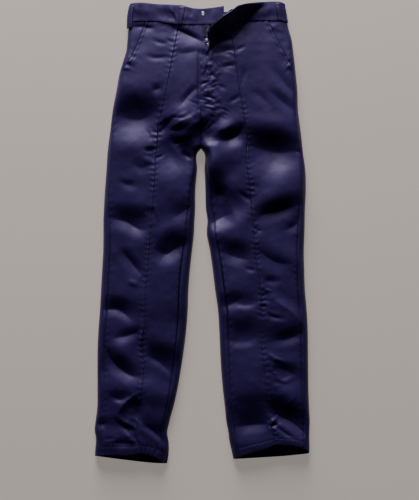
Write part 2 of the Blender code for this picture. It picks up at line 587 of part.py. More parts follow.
def make_side_loop():
    """The loop at the right side lies over the side fold, so it is bent round it."""
    loop = SIDE_LOOP
    across = np.cos(loop["turns"])
    up = np.sin(loop["turns"])
    outer, inner = [], []
    for part in np.linspace(0, 1, loop["points"]):
        down = loop["start"] + part * loop["length"]
        stand = loop["gap"] + loop["arch"] * math.sin(math.pi * part) + BAND_RAISE
        x, z = side_turn(-1, down, False, loop["turns"])
        inner.append(place(np.array(x) - across * stand, down, np.array(z) + up * stand))
        outer.append(place(np.array(x) - across * (stand + LOOP_THICK), down,
                           np.array(z) + up * (stand + LOOP_THICK)))
    shell("loop_side_right", np.array(outer), np.array(inner), "twill")


def make_fly_shield():
    """The strip behind the zip, sewn to the right front's edge and showing where the fly is open."""
    x = np.array([np.linspace(SEAM_GAP, np.interp(row, *SHIELD_EDGE.T), SHIELD_COLUMNS) for row in SHIELD_ROWS])
    down = np.repeat(SHIELD_ROWS[:, None], SHIELD_COLUMNS, axis=1).astype(float)
    face = place(x, down, top_height(-1, x, down))
    return shell("fly_shield", face, face - CLOTH * MM * top_normal(-1, x, down), "twill")


def plate_under(name, panel, rows, out, into, gap, thick, material):
    """A thin plate under a panel's free edge, made from its inner points and standing out past the edge."""
    outer, inner = GRIDS[panel]
    face, back = [], []
    for row in rows:
        low = int(row)
        part = row - low
        ends = [(1 - part) * inner[low, c] + part * inner[low + 1, c] for c in (0, 1)]
        over = (1 - part) * outer[low, 0] + part * outer[low + 1, 0]
        through = (over - ends[0]) / np.linalg.norm(over - ends[0])
        inwards = (ends[1] - ends[0]) / np.linalg.norm(ends[1] - ends[0])
        line = np.array([ends[0] - inwards * out * MM, ends[0], ends[0] + inwards * into * MM])
        face.append(line - through * gap * MM)
        back.append(line - through * (gap + thick) * MM)
    return shell(name, np.array(face), np.array(back), material)


def make_tapes(drop):
    """Zip tape on the shield, and the other one under the left front's free edge."""
    on = TAPE_RIGHT
    line = [(on["x"], down) for down in on["downs"]]
    strip_on("zip_tape_right", drop, line, on["width"], on["thick"], on["gap"], 0.0, "tape")
    under = TAPE_LEFT
    plate_under("zip_tape_left", "front_left", under["levels"], under["out"], under["into"], under["gap"],
                under["thick"], "tape")


def rounded_block(name, size, bevel, material, matrix):
    """A block with rounded edges, from a cube."""
    mesh = bmesh.new()
    bmesh.ops.create_cube(mesh, size=1.0, matrix=Matrix.Diagonal((*[value * MM for value in size], 1.0)))
    bmesh.ops.bevel(mesh, geom=mesh.edges, offset=bevel * MM, segments=2, affect="EDGES", profile=0.5)
    bmesh.ops.transform(mesh, matrix=matrix, verts=mesh.verts)
    return finish_mesh(name, mesh, material)


def lie(at, height, along=(0, -1), tilt=0.0):
    """Matrix that lays a block's long Y along a direction at (x, down, height)."""
    turn = math.atan2(along[1], along[0]) - math.pi / 2
    spot = Vector(((at[0] + MIDDLE_X) * MM, (WAIST_Y - at[1]) * MM, height * MM))
    return Matrix.Translation(spot) @ Matrix.Rotation(turn, 4, "Z") @ Matrix.Rotation(tilt, 4, "X")


def highest_under(drop, at, width, length):
    """The highest cloth under a small block."""
    spots = [(at[0] + dx * width / 2, at[1] + dy * length / 2) for dx in (-1, 0, 1) for dy in (-1, -0.5, 0, 0.5, 1)]
    return max(drop(*spot) for spot in spots)


def make_metal(drop):
    """Eye bar on the right band, hook under the left band's end, zip slider and its pull tab."""
    bar = EYE_BAR
    height = highest_under(drop, bar["at"], bar["width"], bar["length"]) + METAL_GAP + bar["thick"] / 2
    rounded_block("waist_bar", (bar["width"], bar["length"], bar["thick"]), bar["bevel"], "steel",
                  lie(bar["at"], height))

    hook = HOOK
    plate_under("waist_hook", "waistband_left", hook["levels"], hook["out"], hook["into"], hook["gap"],
                hook["thick"], "steel")

    slide = SLIDER
    height = highest_under(drop, slide["at"], slide["width"], slide["length"]) + METAL_GAP + slide["thick"] / 2
    rounded_block("zip_slider", (slide["width"], slide["length"], slide["thick"]), slide["bevel"], "zip_metal",
                  lie(slide["at"], height))

    pull = PULL
    ahead = Vector((pull["toward"][0], -pull["toward"][1])).normalized()
    hinge = Vector((slide["at"][0], WAIST_Y - slide["at"][1])) + ahead * (slide["length"] / 2 + pull["clear"])
    middle = hinge + ahead * (pull["length"] / 2)
    end_height = highest_under(drop, (middle.x, WAIST_Y - middle.y), pull["width"], pull["length"])
    height = end_height + pull["gap"] + pull["thick"] / 2
    matrix = lie((middle.x, WAIST_Y - middle.y), height, along=(ahead.x, ahead.y))
    tab = rounded_block("zip_pull", (pull["width"], pull["length"], pull["thick"]), pull["bevel"], "zip_metal",
                        matrix)
    axis = Vector((hinge.x + MIDDLE_X, hinge.y, height)) * MM
    tab.data.transform(Matrix.Translation(-axis))
    tab.location = axis


def clear_scene():
    """Empty the scene before the pieces are made."""
    for thing in list(bpy.data.objects):
        bpy.data.objects.remove(thing, do_unlink=True)


def make_materials():
    """One plain material for each kind of surface."""
    made = {}
    for name, (colour, roughness, metallic) in COLOURS.items():
        material = bpy.data.materials.new(name)
        material.use_nodes = True
        surface = material.node_tree.nodes["Principled BSDF"]
        surface.inputs["Base Color"].default_value = colour
        surface.inputs["Roughness"].default_value = roughness
        surface.inputs["Metallic"].default_value = metallic
        made[name] = material
    return made


clear_scene()
PARTS = bpy.data.collections.new("work_trousers")
bpy.context.scene.collection.children.link(PARTS)
MATERIALS = make_materials()

cloth = [make_front("front_right", -1), make_front("front_left", 1),
         make_back("back_right", -1), make_back("back_left", 1),
         make_pocket_facing("pocket_facing_right", -1), make_pocket_facing("pocket_facing_left", 1),
         make_waistband("waistband_right", -1), make_waistband("waistband_left", 1)]
shield = make_fly_shield()
make_front_loops(surface_below(cloth))
make_side_loop()
right_side = surface_below([cloth[0], cloth[2], cloth[6], shield])
make_tapes(right_side)
make_metal(right_side)
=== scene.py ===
import math
from collections import namedtuple

import bpy
import numpy as np
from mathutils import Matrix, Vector


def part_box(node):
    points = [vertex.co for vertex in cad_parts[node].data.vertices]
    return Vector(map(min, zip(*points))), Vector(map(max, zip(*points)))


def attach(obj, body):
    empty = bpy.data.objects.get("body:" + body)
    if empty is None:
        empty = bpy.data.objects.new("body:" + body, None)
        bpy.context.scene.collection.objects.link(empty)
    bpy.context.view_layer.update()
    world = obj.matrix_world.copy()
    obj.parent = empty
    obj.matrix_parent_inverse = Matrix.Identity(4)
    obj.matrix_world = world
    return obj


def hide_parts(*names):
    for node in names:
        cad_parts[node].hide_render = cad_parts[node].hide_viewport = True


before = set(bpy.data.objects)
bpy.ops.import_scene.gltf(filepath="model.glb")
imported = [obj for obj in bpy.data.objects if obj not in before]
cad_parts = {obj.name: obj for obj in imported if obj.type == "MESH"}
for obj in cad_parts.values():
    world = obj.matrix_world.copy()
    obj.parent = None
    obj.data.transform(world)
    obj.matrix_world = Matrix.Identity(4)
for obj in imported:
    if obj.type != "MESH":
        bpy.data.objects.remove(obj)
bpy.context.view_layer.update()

bl_info = {
    "name": "Work trousers laid flat",
    "version": (1, 0, 0),
    "blender": (4, 5, 0),
    "location": "3D View > Sidebar > Trousers",
    "description": "Cloth, seams, stitching, zip and studio for a pair of dark twill work trousers",
    "category": "Object",
}

# Sizes are millimetres. A place on the garment is (x, down): x runs to the wearer's left and down
# from the waist to the hems. The right leg is the wearer's right. Side is -1 right, 1 left.
MM = 0.001
WAIST_Y = 528.85  # y of down = 0
MIDDLE_X = 0.85  # x of the tables' zero
TROUSERS = "trousers"

# The garment's form: its outline and seams are the solids' own, and the cloth is a little thinner
CLOTH = 1.2
BAND = 2.6
TAPE = 0.7
BAND_RAISE = 0.35  # the band's face stands above the panels it is sewn to
BAND_DEEP = 42.0
BAND_END = 48.0  # the band's front ends meet the fly here
LEFT_CORNER = 80.0  # x of the left band's top corner, which is folded open
LOWEST_TOP = 5.5  # the front never sinks nearer than this to the surface below
EASE_LOW = 3.0  # and is eased towards it over about this much
EASE_DROP = 0.4  # the easing lifts the cloth a little, and this takes it down again
SIDE_UNDER = 6.0  # radius of the side folds below their widest line
SIDE_OVER = 16.0  # reach of the round side above it
INNER_OVER = 20.0  # the same on the inside of the legs
HIP_FALL = 0.2  # the hips and each leg are this part lower at their sides than in the middle
LEG_FALL = 0.2
CROTCH_DOWN = 334.0
PARTING_START = 246.0  # the one hip shape turns into two leg shapes from here
PARTING_REACH = 90.0
FOLD_FADE = 16.0  # folds fade out over this much towards the round sides
STEEP_SIDE = 0.45  # the lowest part of the round sides carries no folds
LAP_DROP = 2.6  # the right front's edge lies this much lower, under the left one
CREASE_HALF = 2.2
CREASE_STITCHES = 1.9  # from the crease to the row of stitches inside of it
WAIST_ROW = 45.0
WARP_END = 140.0  # rows follow the waist seam down to here
HEM_START = 948.0  # and the hem from here
HEM_DOWN = 1045.0
HEM_DEEP = 20.0
POCKET_END = 153.0
POCKET_STITCHES = 6.5  # the inner row beside a pocket mouth
SEAM_GROOVE = 0.8  # depth of the groove along the side and inside leg seams
QUARTER = math.pi / 2

# Down, then x of the right leg's side and inner edge and of the left leg's inner edge and side
OUTLINE = np.array([
    (-5, -164, 0, 0, 186), (20, -168, 0, 0, 191), (58, -171, 0, 0, 198), (85, -173.5, 0, 0, 206),
    (108, -176, 0, 0, 209), (131, -183, 0, 0, 212), (154, -190, 0, 0, 214.5), (200, -199, 0, 0, 219),
    (246, -207.5, -3, -3, 220.5), (292, -213, -3.6, -3.4, 226.5), (333, -218.5, -3.7, -3.4, 231),
    (338, -219, -8, 0.5, 231.5), (384, -222, -12.5, 4.5, 237.5), (430, -225.5, -16.5, 6.5, 238.5),
    (476, -228, -17, 8, 236.5), (500, -229, -18.5, 11.5, 236), (526, -229, -19.5, 9.5, 235.5),
    (568, -229.5, -24, 17, 234), (614, -232, -29, 23.5, 235), (660, -234.5, -32.5, 29, 236.5),
    (706, -237, -34, 35.5, 240.5), (752, -240.5, -37.5, 38.5, 243), (798, -242.5, -43, 40.5, 243.5),
    (844, -242.7, -50, 43, 244), (890, -242.7, -58, 47, 244.5), (930, -243, -67, 51.5, 246),
    (966, -247.5, -77.5, 55.5, 247.5), (982, -249.3, -81.5, 59, 247), (1005, -246, -78, 62, 246.5),
    (1028, -247.5, -78.5, 67.5, 247), (1062, -249.5, -87, 74.5, 246.5)])
# Down, then x of the right and the left crease
CREASE = np.array([
    (35, -56, 77), (75, -62, 69), (112, -68.5, 75), (150, -75.5, 80), (187, -83, 85.5), (230, -91.5, 92),
    (283, -104, 101.5), (315, -106, 105.5), (345, -109, 103), (407, -111.5, 109), (470, -117, 115.5),
    (534, -122, 121), (610, -127.5, 127.7), (650, -132.5, 134.5), (740, -136, 138), (780, -141, 137),
    (833, -137, 144), (890, -141.5, 151), (932, -148, 163), (952, -149, 172), (970, -153, 158.5),
    (1000, -152, 166), (1045, -145, 168)])
# Down and the cloth's height along the middle
CROWN = np.array([
    (-5, 15), (20, 16), (60, 20), (110, 27), (200, 32), (300, 33), (400, 32), (600, 30), (800, 28),
    (930, 26), (990, 24), (1045, 21)])
# Edges that run across the garment: x and down
BAND_TOP_RIGHT = np.array([
    (-175, 3), (-165, 1), (-150, -0.5), (-100, 3), (-60, 5), (-45, 6), (-35, 9), (-20, 12.5), (0, 13.5),
    (20, 11.5), (48, 7.5)])
BAND_SEAM_RIGHT = np.array([(-175, 45), (-150, 41.5), (-105, 42), (-85, 46), (-55, 50), (0, 50), (48, 49)])
BAND_TOP_LEFT = np.array([
    (78, 12), (90, 8), (100, 5), (122, 1), (140, -2), (165, -3.2), (180, -2), (188, 0.5), (200, 3)])
BAND_SEAM_LEFT = np.array([
    (-4, 15), (6, 20), (14, 23), (30, 31), (48, 36), (60, 40), (85, 43), (110, 41), (150, 40), (200, 43)])
BACK_TOP = np.array([
    (-175, 3), (-165, 1), (-150, -0.5), (-100, 3), (-45, 6.5), (-20, 13), (0, 14.2), (75, 14.2), (90, 9),
    (122, 3), (140, 0), (188, 1.5), (200, 3)])
BACK_SEAM = np.array([(-200, 43.5), (-0.1, 52), (0.1, 52), (200, 43)])
HEM_FRONT_RIGHT = np.array([
    (-250, 1042), (-236, 1041), (-197, 1039.6), (-160, 1039), (-144, 1035.5), (-123, 1039), (-105, 1046.5),
    (-92, 1055.5), (-84, 1059)])
HEM_BACK_RIGHT = np.array([(-250, 1043.5), (-178, 1053), (-90, 1061), (-84, 1061)])
HEM_FRONT_LEFT = np.array([
    (73, 1049), (97, 1039.5), (123, 1031), (150, 1022.5), (169, 1015.5), (194, 1017), (220, 1020.5),
    (239, 1028), (247, 1034)])
HEM_BACK_LEFT = np.array([(73, 1051), (141, 1047), (194, 1043.5), (247, 1038)])
# Edges of the fronts beside the fly: row and x
RIGHT_EDGE = np.array([(45, 0), (238, 0), (246, -3.8), (333, -3.8)])
LEFT_EDGE = np.array([
    (45, 48), (62, 30), (74, 20), (85, 14), (100, 17), (110, 14), (120, 6), (130, -1), (140, -3.5),
    (333, -3.5)])
# Pocket mouths: row, then x on the right and on the left
POCKET = np.array([
    (40, -126, 148), (49, -130, 151), (100, -150, 177), (125, -162, 191), (153, -182.5, 207.5)])
# Down, then how far the side seam and the inside leg seam lie in from a leg's edges
SEAM_INSET = np.array([
    (0, 4, 1.2), (300, 5, 1.2), (340, 6, 1.2), (366, 8, 5), (400, 11, 9), (450, 14, 14), (1100, 14, 14)])

# The raised corner's edge: its height above the front, and how far its slope reaches
CornerPoint = namedtuple("CornerPoint", "x down lift reach")
RAISED_CORNER = [
    CornerPoint(142, -2, 0, 8), CornerPoint(122, 2, 13, 17), CornerPoint(96, 5, 30, 30),
    CornerPoint(80, 10, 37, 38), CornerPoint(48, 36, 39, 50), CornerPoint(30, 50, 37, 52),
    CornerPoint(14, 72, 30, 42), CornerPoint(17, 91, 11, 15), CornerPoint(14, 105, 4, 9),
    CornerPoint(6, 115, 1.5, 7), CornerPoint(-3, 128, 0, 6)]

# Folds: a walker on the path has `left` and `right` as the fold's reach to each hand. Lift is below
# zero for a trough and above it for a ridge. Crisp goes from 0, a soft hollow, to 1, a sharp line.
Fold = namedtuple("Fold", "path left right lift crisp")
LARGE_FOLDS = [
    # Below the waistband and on the hips
    Fold([(-170, 55), (-140, 54), (-98, 60)], 7, 16, -4, 0.6),
    Fold([(-82, 50), (-60, 60), (-30, 74), (4, 92)], 9, 22, -7.5, 0.8),
    Fold([(-66, 116), (-45, 117), (0, 108)], 10, 14, -2.5, 0.3),
    Fold([(-212, 254), (-178, 264), (-142, 268), (-96, 240)], 55, 46, -12, 0.3),
    Fold([(-118, 204), (-90, 195)], 12, 12, -4, 0.3),
    Fold([(-10, 192), (-28, 210), (-50, 238)], 9, 10, -4, 0.6),
    Fold([(30, 116), (52, 112), (74, 104)], 10, 12, -4, 0.4),
    Fold([(36, 150), (56, 147), (80, 144)], 8, 10, -3, 0.6),
    Fold([(160, 145), (185, 182), (214, 214)], 14, 12, -4, 0.3),
    Fold([(148, 196), (178, 224), (212, 250)], 14, 14, -4, 0.3),
    Fold([(112, 200), (140, 222), (160, 244)], 12, 14, -3, 0.2),
    # Thighs and the hollow between them
    Fold([(-12, 276), (2, 300), (2, 330)], 34, 34, -16, 0.2),
    Fold([(-104, 308), (-84, 284), (-60, 262)], 14, 18, -8, 0.5),
    Fold([(-82, 296), (-55, 292), (-30, 290)], 12, 12, -6, 0.4),
    Fold([(-84, 318), (-56, 344), (-22, 388)], 14, 16, 6, 0.3),
    Fold([(-50, 340), (-34, 368), (-20, 392)], 12, 14, -6, 0.3),
    Fold([(-134, 336), (-118, 352), (-112, 372)], 12, 10, -4, 0.5),
    Fold([(-165, 366), (-140, 380), (-112, 376)], 18, 14, -3, 0.3),
    Fold([(34, 316), (64, 314), (84, 300), (94, 276)], 22, 20, -11, 0.7),
    Fold([(20, 298), (52, 290), (78, 274)], 18, 18, 5, 0.5),
    Fold([(92, 322), (130, 334), (168, 344), (220, 340)], 50, 50, -15, 0.3),
    Fold([(26, 428), (40, 438), (56, 446)], 17, 16, -6, 0.3),
    Fold([(10, 512), (36, 498), (72, 482)], 45, 26, -10, 0.6),
    # Knees
    Fold([(-212, 496), (-176, 503), (-146, 520), (-122, 526)], 32, 20, -9, 0.7),
    Fold([(-112, 562), (-86, 578), (-60, 564), (-34, 552)], 38, 20, -9, 0.6),
    Fold([(-72, 498), (-44, 480), (-20, 464)], 22, 16, -5, 0.3),
    Fold([(-186, 566), (-160, 600), (-138, 628)], 14, 18, -7, 0.7),
    Fold([(120, 498), (146, 484), (178, 476), (214, 468)], 34, 20, -10, 0.7),
    Fold([(184, 524), (212, 512), (224, 470)], 14, 14, -5, 0.5),
    Fold([(118, 556), (142, 580), (176, 598), (214, 600)], 36, 22, -9, 0.4),
    Fold([(42, 572), (76, 584), (112, 592)], 34, 18, -7, 0.5),
    Fold([(136, 640), (156, 640), (178, 640)], 12, 12, -3, 0.6),
    Fold([(150, 662), (176, 690), (202, 708), (238, 748)], 16, 16, 5, 0.5),
    Fold([(40, 700), (62, 694), (92, 676)], 22, 14, -5, 0.4),
    # Shins and cuffs
    Fold([(-236, 706), (-192, 706), (-160, 732)], 24, 14, -7, 0.6),
    Fold([(-206, 772), (-170, 764), (-140, 752)], 14, 14, -5, 0.5),
    Fold([(-228, 782), (-200, 830), (-170, 854), (-136, 862)], 24, 18, -10, 0.7),
    Fold([(-138, 820), (-108, 842), (-68, 878)], 34, 20, 2, 0.6),
    Fold([(-144, 894), (-172, 912), (-198, 948)], 14, 26, 7, 0.8),
    Fold([(-146, 912), (-150, 940), (-154, 968)], 16, 26, -7, 0.4),
    Fold([(-146, 958), (-112, 986), (-78, 1018)], 30, 16, -7, 0.4),
    Fold([(-252, 970), (-216, 968)], 14, 12, -5, 0.5),
    Fold([(-202, 960), (-180, 976), (-158, 984)], 12, 12, -5, 0.6),
    Fold([(-204, 1012), (-166, 1014)], 14, 10, -3, 0.5),
    Fold([(160, 778), (200, 770), (234, 756)], 16, 14, -5, 0.3),
    Fold([(148, 836), (178, 840), (214, 856)], 18, 16, -5, 0.4),
    Fold([(158, 906), (170, 946), (204, 964), (244, 1000)], 46, 14, -12, 0.7),
    Fold([(72, 976), (112, 971), (158, 968)], 34, 16, -8, 0.5),
]
SMALL_FOLDS = [
    # Right leg, waist to knee
    Fold([(-80, 16), (-69, 25), (-64, 38), (-62, 50)], 6, 8, -2.2, 0.5),
    Fold([(-116, 84), (-98, 92), (-78, 94)], 9, 10, -2, 0.3),
    Fold([(-84, 84), (-72, 90), (-66, 98)], 6, 7, -1.8, 0.4),
    Fold([(-130, 122), (-110, 127), (-75, 125)], 9, 12, -2.2, 0.3),
    Fold([(-72, 262), (-56, 266), (-38, 264)], 7, 8, -2.5, 0.5),
    Fold([(-66, 324), (-52, 320), (-40, 312)], 7, 8, -3, 0.5),
    Fold([(-52, 344), (-36, 352), (-18, 360)], 12, 10, -4, 0.5),
    Fold([(-130, 290), (-122, 304), (-118, 316)], 6, 6, -2, 0.5),
    Fold([(-110, 357), (-98, 354), (-88, 348)], 6, 7, -2, 0.5),
    Fold([(-194, 408), (-172, 418), (-148, 420)], 14, 16, -2.5, 0.3),
    Fold([(-112, 462), (-105, 480), (-100, 502)], 7, 7, 1.6, 0.4),
    # Right leg, knee to hem
    Fold([(-52, 560), (-46, 602), (-50, 650)], 16, 16, -2.5, 0.2),
    Fold([(-172, 636), (-158, 644), (-146, 646)], 10, 12, 2, 0.3),
    Fold([(-146, 738), (-150, 768), (-148, 800)], 8, 12, -2.5, 0.3),
    Fold([(-130, 738), (-132, 768), (-130, 800)], 12, 8, -2.5, 0.3),
    Fold([(-134, 806), (-100, 826), (-66, 858)], 52, 12, -5, 0.3),
    Fold([(-214, 900), (-190, 912), (-160, 898)], 26, 10, -4, 0.3),
    Fold([(-196, 950), (-176, 965), (-154, 976)], 8, 9, 2.5, 0.5),
    Fold([(-182, 984), (-168, 998), (-154, 1012)], 8, 10, 2.2, 0.4),
    Fold([(-161, 975), (-153, 1000), (-147, 1022)], 7, 8, -2.2, 0.4),
    Fold([(-146, 974), (-112, 999), (-84, 1030)], 10, 12, 2.5, 0.3),
    # Left leg, waist to knee
    Fold([(74, 110), (86, 106), (98, 99)], 7, 8, -2, 0.4),
    Fold([(99, 148), (95, 168), (90, 188)], 9, 9, -1.6, 0.3),
    Fold([(33, 187), (42, 193), (54, 199)], 8, 9, -2, 0.4),
    Fold([(58, 231), (72, 224), (88, 213)], 10, 10, -2.2, 0.3),
    Fold([(214, 340), (226, 346), (230, 356)], 8, 8, -2.5, 0.4),
    Fold([(84, 434), (98, 446), (112, 457)], 9, 10, -3, 0.4),
    Fold([(118, 518), (128, 524), (138, 523)], 7, 7, -2, 0.4),
    # Left leg, knee to hem
    Fold([(96, 608), (110, 614), (124, 613)], 8, 9, -2, 0.3),
    Fold([(72, 690), (100, 694), (128, 688)], 30, 14, -3.5, 0.3),
    Fold([(48, 772), (90, 778), (132, 764)], 60, 20, -4, 0.2),
    Fold([(144, 714), (164, 722), (188, 726)], 9, 10, -3, 0.4),
    Fold([(150, 805), (170, 819), (192, 826)], 9, 9, 2.5, 0.4),
    Fold([(164, 856), (182, 869), (212, 860)], 9, 10, 2, 0.3),
    Fold([(153, 966), (165, 958), (176, 949)], 6, 7, 3, 0.5),
    Fold([(154, 974), (166, 970), (176, 964)], 6, 6, -2.5, 0.5),
    Fold([(170, 972), (190, 990), (212, 1001)], 9, 9, -3, 0.5),
    # Round the foot of the fly
    Fold([(2, 238), (16, 230), (32, 222)], 4, 5, -1.4, 0.5),
    Fold([(2, 243), (18, 245), (34, 251)], 4, 5, -1.4, 0.5),
    Fold([(-6, 238), (-20, 231), (-34, 226)], 4, 5, -1.2, 0.5),
    Fold([(4, 146), (18, 150), (32, 146)], 4, 5, -1.0, 0.5),
    Fold([(4, 166), (18, 169), (32, 166)], 4, 5, -1.0, 0.5),
    Fold([(4, 186), (16, 190), (28, 188)], 4, 5, -1.0, 0.5),
]

# Swells: broad soft patches where the cloth leans. A patch is turned by `turn` degrees, its half
# sizes are `wide` along its own line and `deep` across it, and tilt is its fall per millimetre:
# above zero it faces the hems, below zero it faces the waist.
Swell = namedtuple("Swell", "x down wide deep turn tilt")
SWELLS = [
    # Waistband
    Swell(-140, 26, 30, 16, 8, 0.17),
    Swell(-80, 22, 18, 15, 20, 0.15),
    Swell(-28, 36, 26, 11, 0, 0.10),
    Swell(112, 32, 16, 13, 0, 0.12),
    Swell(152, 24, 32, 15, -8, 0.15),
    # Right leg, outside of the crease
    Swell(-140, 122, 50, 48, -8, -0.04),
    Swell(-150, 226, 66, 44, -8, 0.20),
    Swell(-150, 306, 56, 44, -14, -0.07),
    Swell(-160, 344, 46, 22, 4, 0.05),
    Swell(-160, 392, 44, 26, 0, -0.04),
    Swell(-166, 478, 52, 28, 4, 0.16),
    Swell(-166, 545, 44, 34, 0, -0.04),
    Swell(-186, 690, 44, 30, 8, 0.14),
    Swell(-168, 800, 38, 26, 42, -0.10),
    Swell(-212, 822, 26, 44, 46, 0.22),
    Swell(-186, 900, 44, 26, -4, 0.16),
    Swell(-206, 992, 42, 24, 4, -0.11),
    # Right leg, inside of the crease
    Swell(-48, 148, 40, 60, 0, -0.04),
    Swell(-54, 306, 46, 48, 34, 0.50),
    Swell(-58, 388, 44, 52, 24, -0.15),
    Swell(-64, 432, 40, 30, 0, -0.03),
    Swell(-66, 540, 46, 28, -4, 0.20),
    Swell(-70, 598, 44, 28, 0, -0.09),
    Swell(-88, 720, 46, 60, 0, 0.09),
    Swell(-94, 796, 46, 40, 30, 0.22),
    Swell(-98, 880, 46, 40, 36, -0.24),
    Swell(-104, 948, 36, 34, 20, -0.13),
    # Left leg, inside of the crease
    Swell(52, 150, 34, 54, 0, -0.02),
    Swell(42, 276, 36, 24, -20, -0.17),
    Swell(28, 404, 30, 62, -8, 0.42),
    Swell(66, 366, 26, 40, 8, 0.14),
    Swell(60, 440, 42, 36, -14, 0.18),
    Swell(62, 500, 56, 24, -28, -0.15),
    Swell(72, 556, 48, 24, 10, 0.16),
    Swell(76, 622, 48, 30, 4, -0.06),
    Swell(62, 676, 44, 24, -10, 0.13),
    Swell(96, 734, 46, 34, 0, 0.16),
    Swell(96, 812, 46, 34, 0, -0.04),
    Swell(108, 918, 50, 56, 0, 0.17),
    Swell(112, 1000, 50, 24, 0, -0.11),
    # Left leg, outside of the crease
    Swell(160, 168, 52, 76, 0, -0.05),
    Swell(156, 308, 74, 34, 12, 0.27),
    Swell(176, 384, 56, 44, -20, -0.15),
    Swell(150, 428, 44, 34, -52, -0.12),
    Swell(176, 466, 56, 26, -22, 0.28),
    Swell(172, 556, 56, 44, 30, -0.17),
    Swell(192, 606, 46, 28, 20, 0.15),
    Swell(186, 706, 56, 22, 44, -0.12),
    Swell(184, 752, 46, 30, -8, 0.15),
    Swell(172, 822, 36, 24, 10, -0.09),
    Swell(202, 840, 40, 26, 14, 0.13),
    Swell(192, 878, 40, 22, 12, -0.09),
    Swell(196, 930, 44, 28, 36, 0.28),
    Swell(206, 990, 44, 24, 34, -0.15),
]

# Crinkles: patches of short sharp wrinkles that seams and knots of folds draw in
Crinkle = namedtuple("Crinkle", "x down wide deep height span lean")
CRINKLES = [
    # The fly, its foot and the crotch
    Crinkle(12, 118, 16, 14, 1.6, 7, 70),
    Crinkle(10, 152, 12, 22, 1.6, 7, 100),
    Crinkle(24, 160, 14, 20, 1.2, 8, 20),
    Crinkle(12, 204, 16, 20, 1.5, 7, 40),
    Crinkle(34, 250, 24, 16, 1.2, 9, 30),
    Crinkle(17, 132, 17, 26, 1.5, 8, 55),
    Crinkle(17, 182, 18, 34, 1.3, 8, -20),
    Crinkle(14, 228, 24, 20, 1.6, 8, 15),
    Crinkle(-14, 262, 22, 30, 1.0, 10, 50),
    Crinkle(12, 292, 30, 30, 1.2, 11, -40),
    Crinkle(-46, 284, 40, 26, 1.2, 13, -30),
    Crinkle(64, 120, 24, 40, 0.6, 12, 10),
    # Waistband and pocket mouths
    Crinkle(-72, 30, 16, 16, 0.7, 8, 60),
    Crinkle(-30, 30, 18, 14, 0.6, 8, 80),
    Crinkle(-118, 56, 26, 9, 0.7, 10, 5),
    Crinkle(168, 57, 20, 9, 1.0, 9, 35),
    Crinkle(-168, 140, 13, 18, 1.0, 8, 50),
    Crinkle(200, 140, 12, 20, 0.9, 8, -50),
    # Beside the creases
    Crinkle(-108, 300, 16, 34, 0.8, 10, 0),
    Crinkle(-118, 350, 18, 36, 1.1, 12, 5),
    Crinkle(-118, 500, 14, 40, 0.7, 12, 0),
    Crinkle(116, 450, 14, 80, 0.7, 11, 10),
    Crinkle(142, 680, 18, 44, 1.1, 11, 15),
    Crinkle(160, 850, 22, 34, 1.1, 11, 20),
    # Cuffs
    Crinkle(-160, 950, 32, 46, 1.1, 14, 40),
    Crinkle(168, 962, 22, 22, 1.4, 10, 35),
    Crinkle(-190, 1006, 46, 14, 0.6, 11, 0),
]

# Places along a pocket mouth where the edge stands open: x, down, height
GAPES = {-1: [(-158, 118, 1.0), (-165, 135, 2.4), (-176, 150, 2.2)],
         1: [(170, 88, 0.8), (190, 116, 1.4), (201, 146, 1.8)]}

# Left and right: tables of each half, and its column in CREASE and POCKET
Half = namedtuple("Half", "band_top band_seam hem_front hem_back fly_edge column")
HALVES = {-1: Half(BAND_TOP_RIGHT, BAND_SEAM_RIGHT, HEM_FRONT_RIGHT, HEM_BACK_RIGHT, RIGHT_EDGE, 1),
          1: Half(BAND_TOP_LEFT, BAND_SEAM_LEFT, HEM_FRONT_LEFT, HEM_BACK_LEFT, LEFT_EDGE, 2)}

# Small parts
LOOP_WIDE = 10.0
LOOP_THICK = 1.4
LOOP_STAND = 2.7  # from the band's face to the loop's outer face at its tacked ends
LOOP_ARCH = 1.6
SIDE_LOOP_DOWN = (5.0, 56.0)
BAR_SPOT = (1, 27)
BAR_REACH = (14, 17)  # the cloth is calm this far round the bar, x and down
SLIDER_SPOT = (10, 90)
SLIDER_REACH = (17, 26)
SHIELD_EDGE = np.array([(48, 44), (52, 40), (62, 36), (74, 27), (85, 21), (100, 18), (110, 12), (119, 6)])
TAPE_X = 5.0  # middle of the right tape
TAPE_RAISE = 1.9  # its face above the right front's own height
TAPE_COLUMNS = np.linspace(-2.6, 2.6, 7)
TEETH = 19
TEETH_X = 8.4
TEETH_RAISE = 1.6
TOOTH = (2.4, 1.0, 1.3)  # length, width and thickness
TOOTH_LEFT = (2.4, 0.9, 1.3)
STITCH = (2.3, 0.38, 0.38)
STITCH_PITCH = 3.0
STITCH_LIFT = 0.1
TACK = (2.6, 0.6, 0.6)
TACK_STITCHES = 12
UP = np.array([0.0, 0.0, 1.0])

# Bartacks: side, middle, direction of the row, its length, and height above the front
Tack = namedtuple("Tack", "side x down across length raised")
TACKS = [
    Tack(-1, -181, 153, (1, 0.35), 8, 0.6), Tack(1, 202, 150, (1, -0.35), 8, 0.6),
    Tack(-1, -128, 51, (1, 0.2), 8, 0.6), Tack(1, 147, 50, (1, -0.2), 8, 0.6),
    Tack(1, -1.5, 240, (1, 0.05), 9, 0.4),
    Tack(-1, -49, 13, (1, 0), 9, 3.6), Tack(-1, -49, 47, (1, 0), 9, 3.6),
    Tack(1, 174, 3, (1, 0), 9, 3.6), Tack(1, 178, 38, (1, 0), 9, 3.6)]
FLY_STITCHES = np.array([(34, 100), (35, 130), (34, 165), (30, 195), (21, 218), (8, 233), (-2, 239)], float)


def sizes():
    return bpy.context.scene.trouser_sizes


def colours():
    return bpy.context.scene.trouser_colours


# Curves and folds

def smooth(value):
    """Ease from 0 to 1 with level ends."""
    value = np.clip(value, 0.0, 1.0)
    return value * value * (3.0 - 2.0 * value)


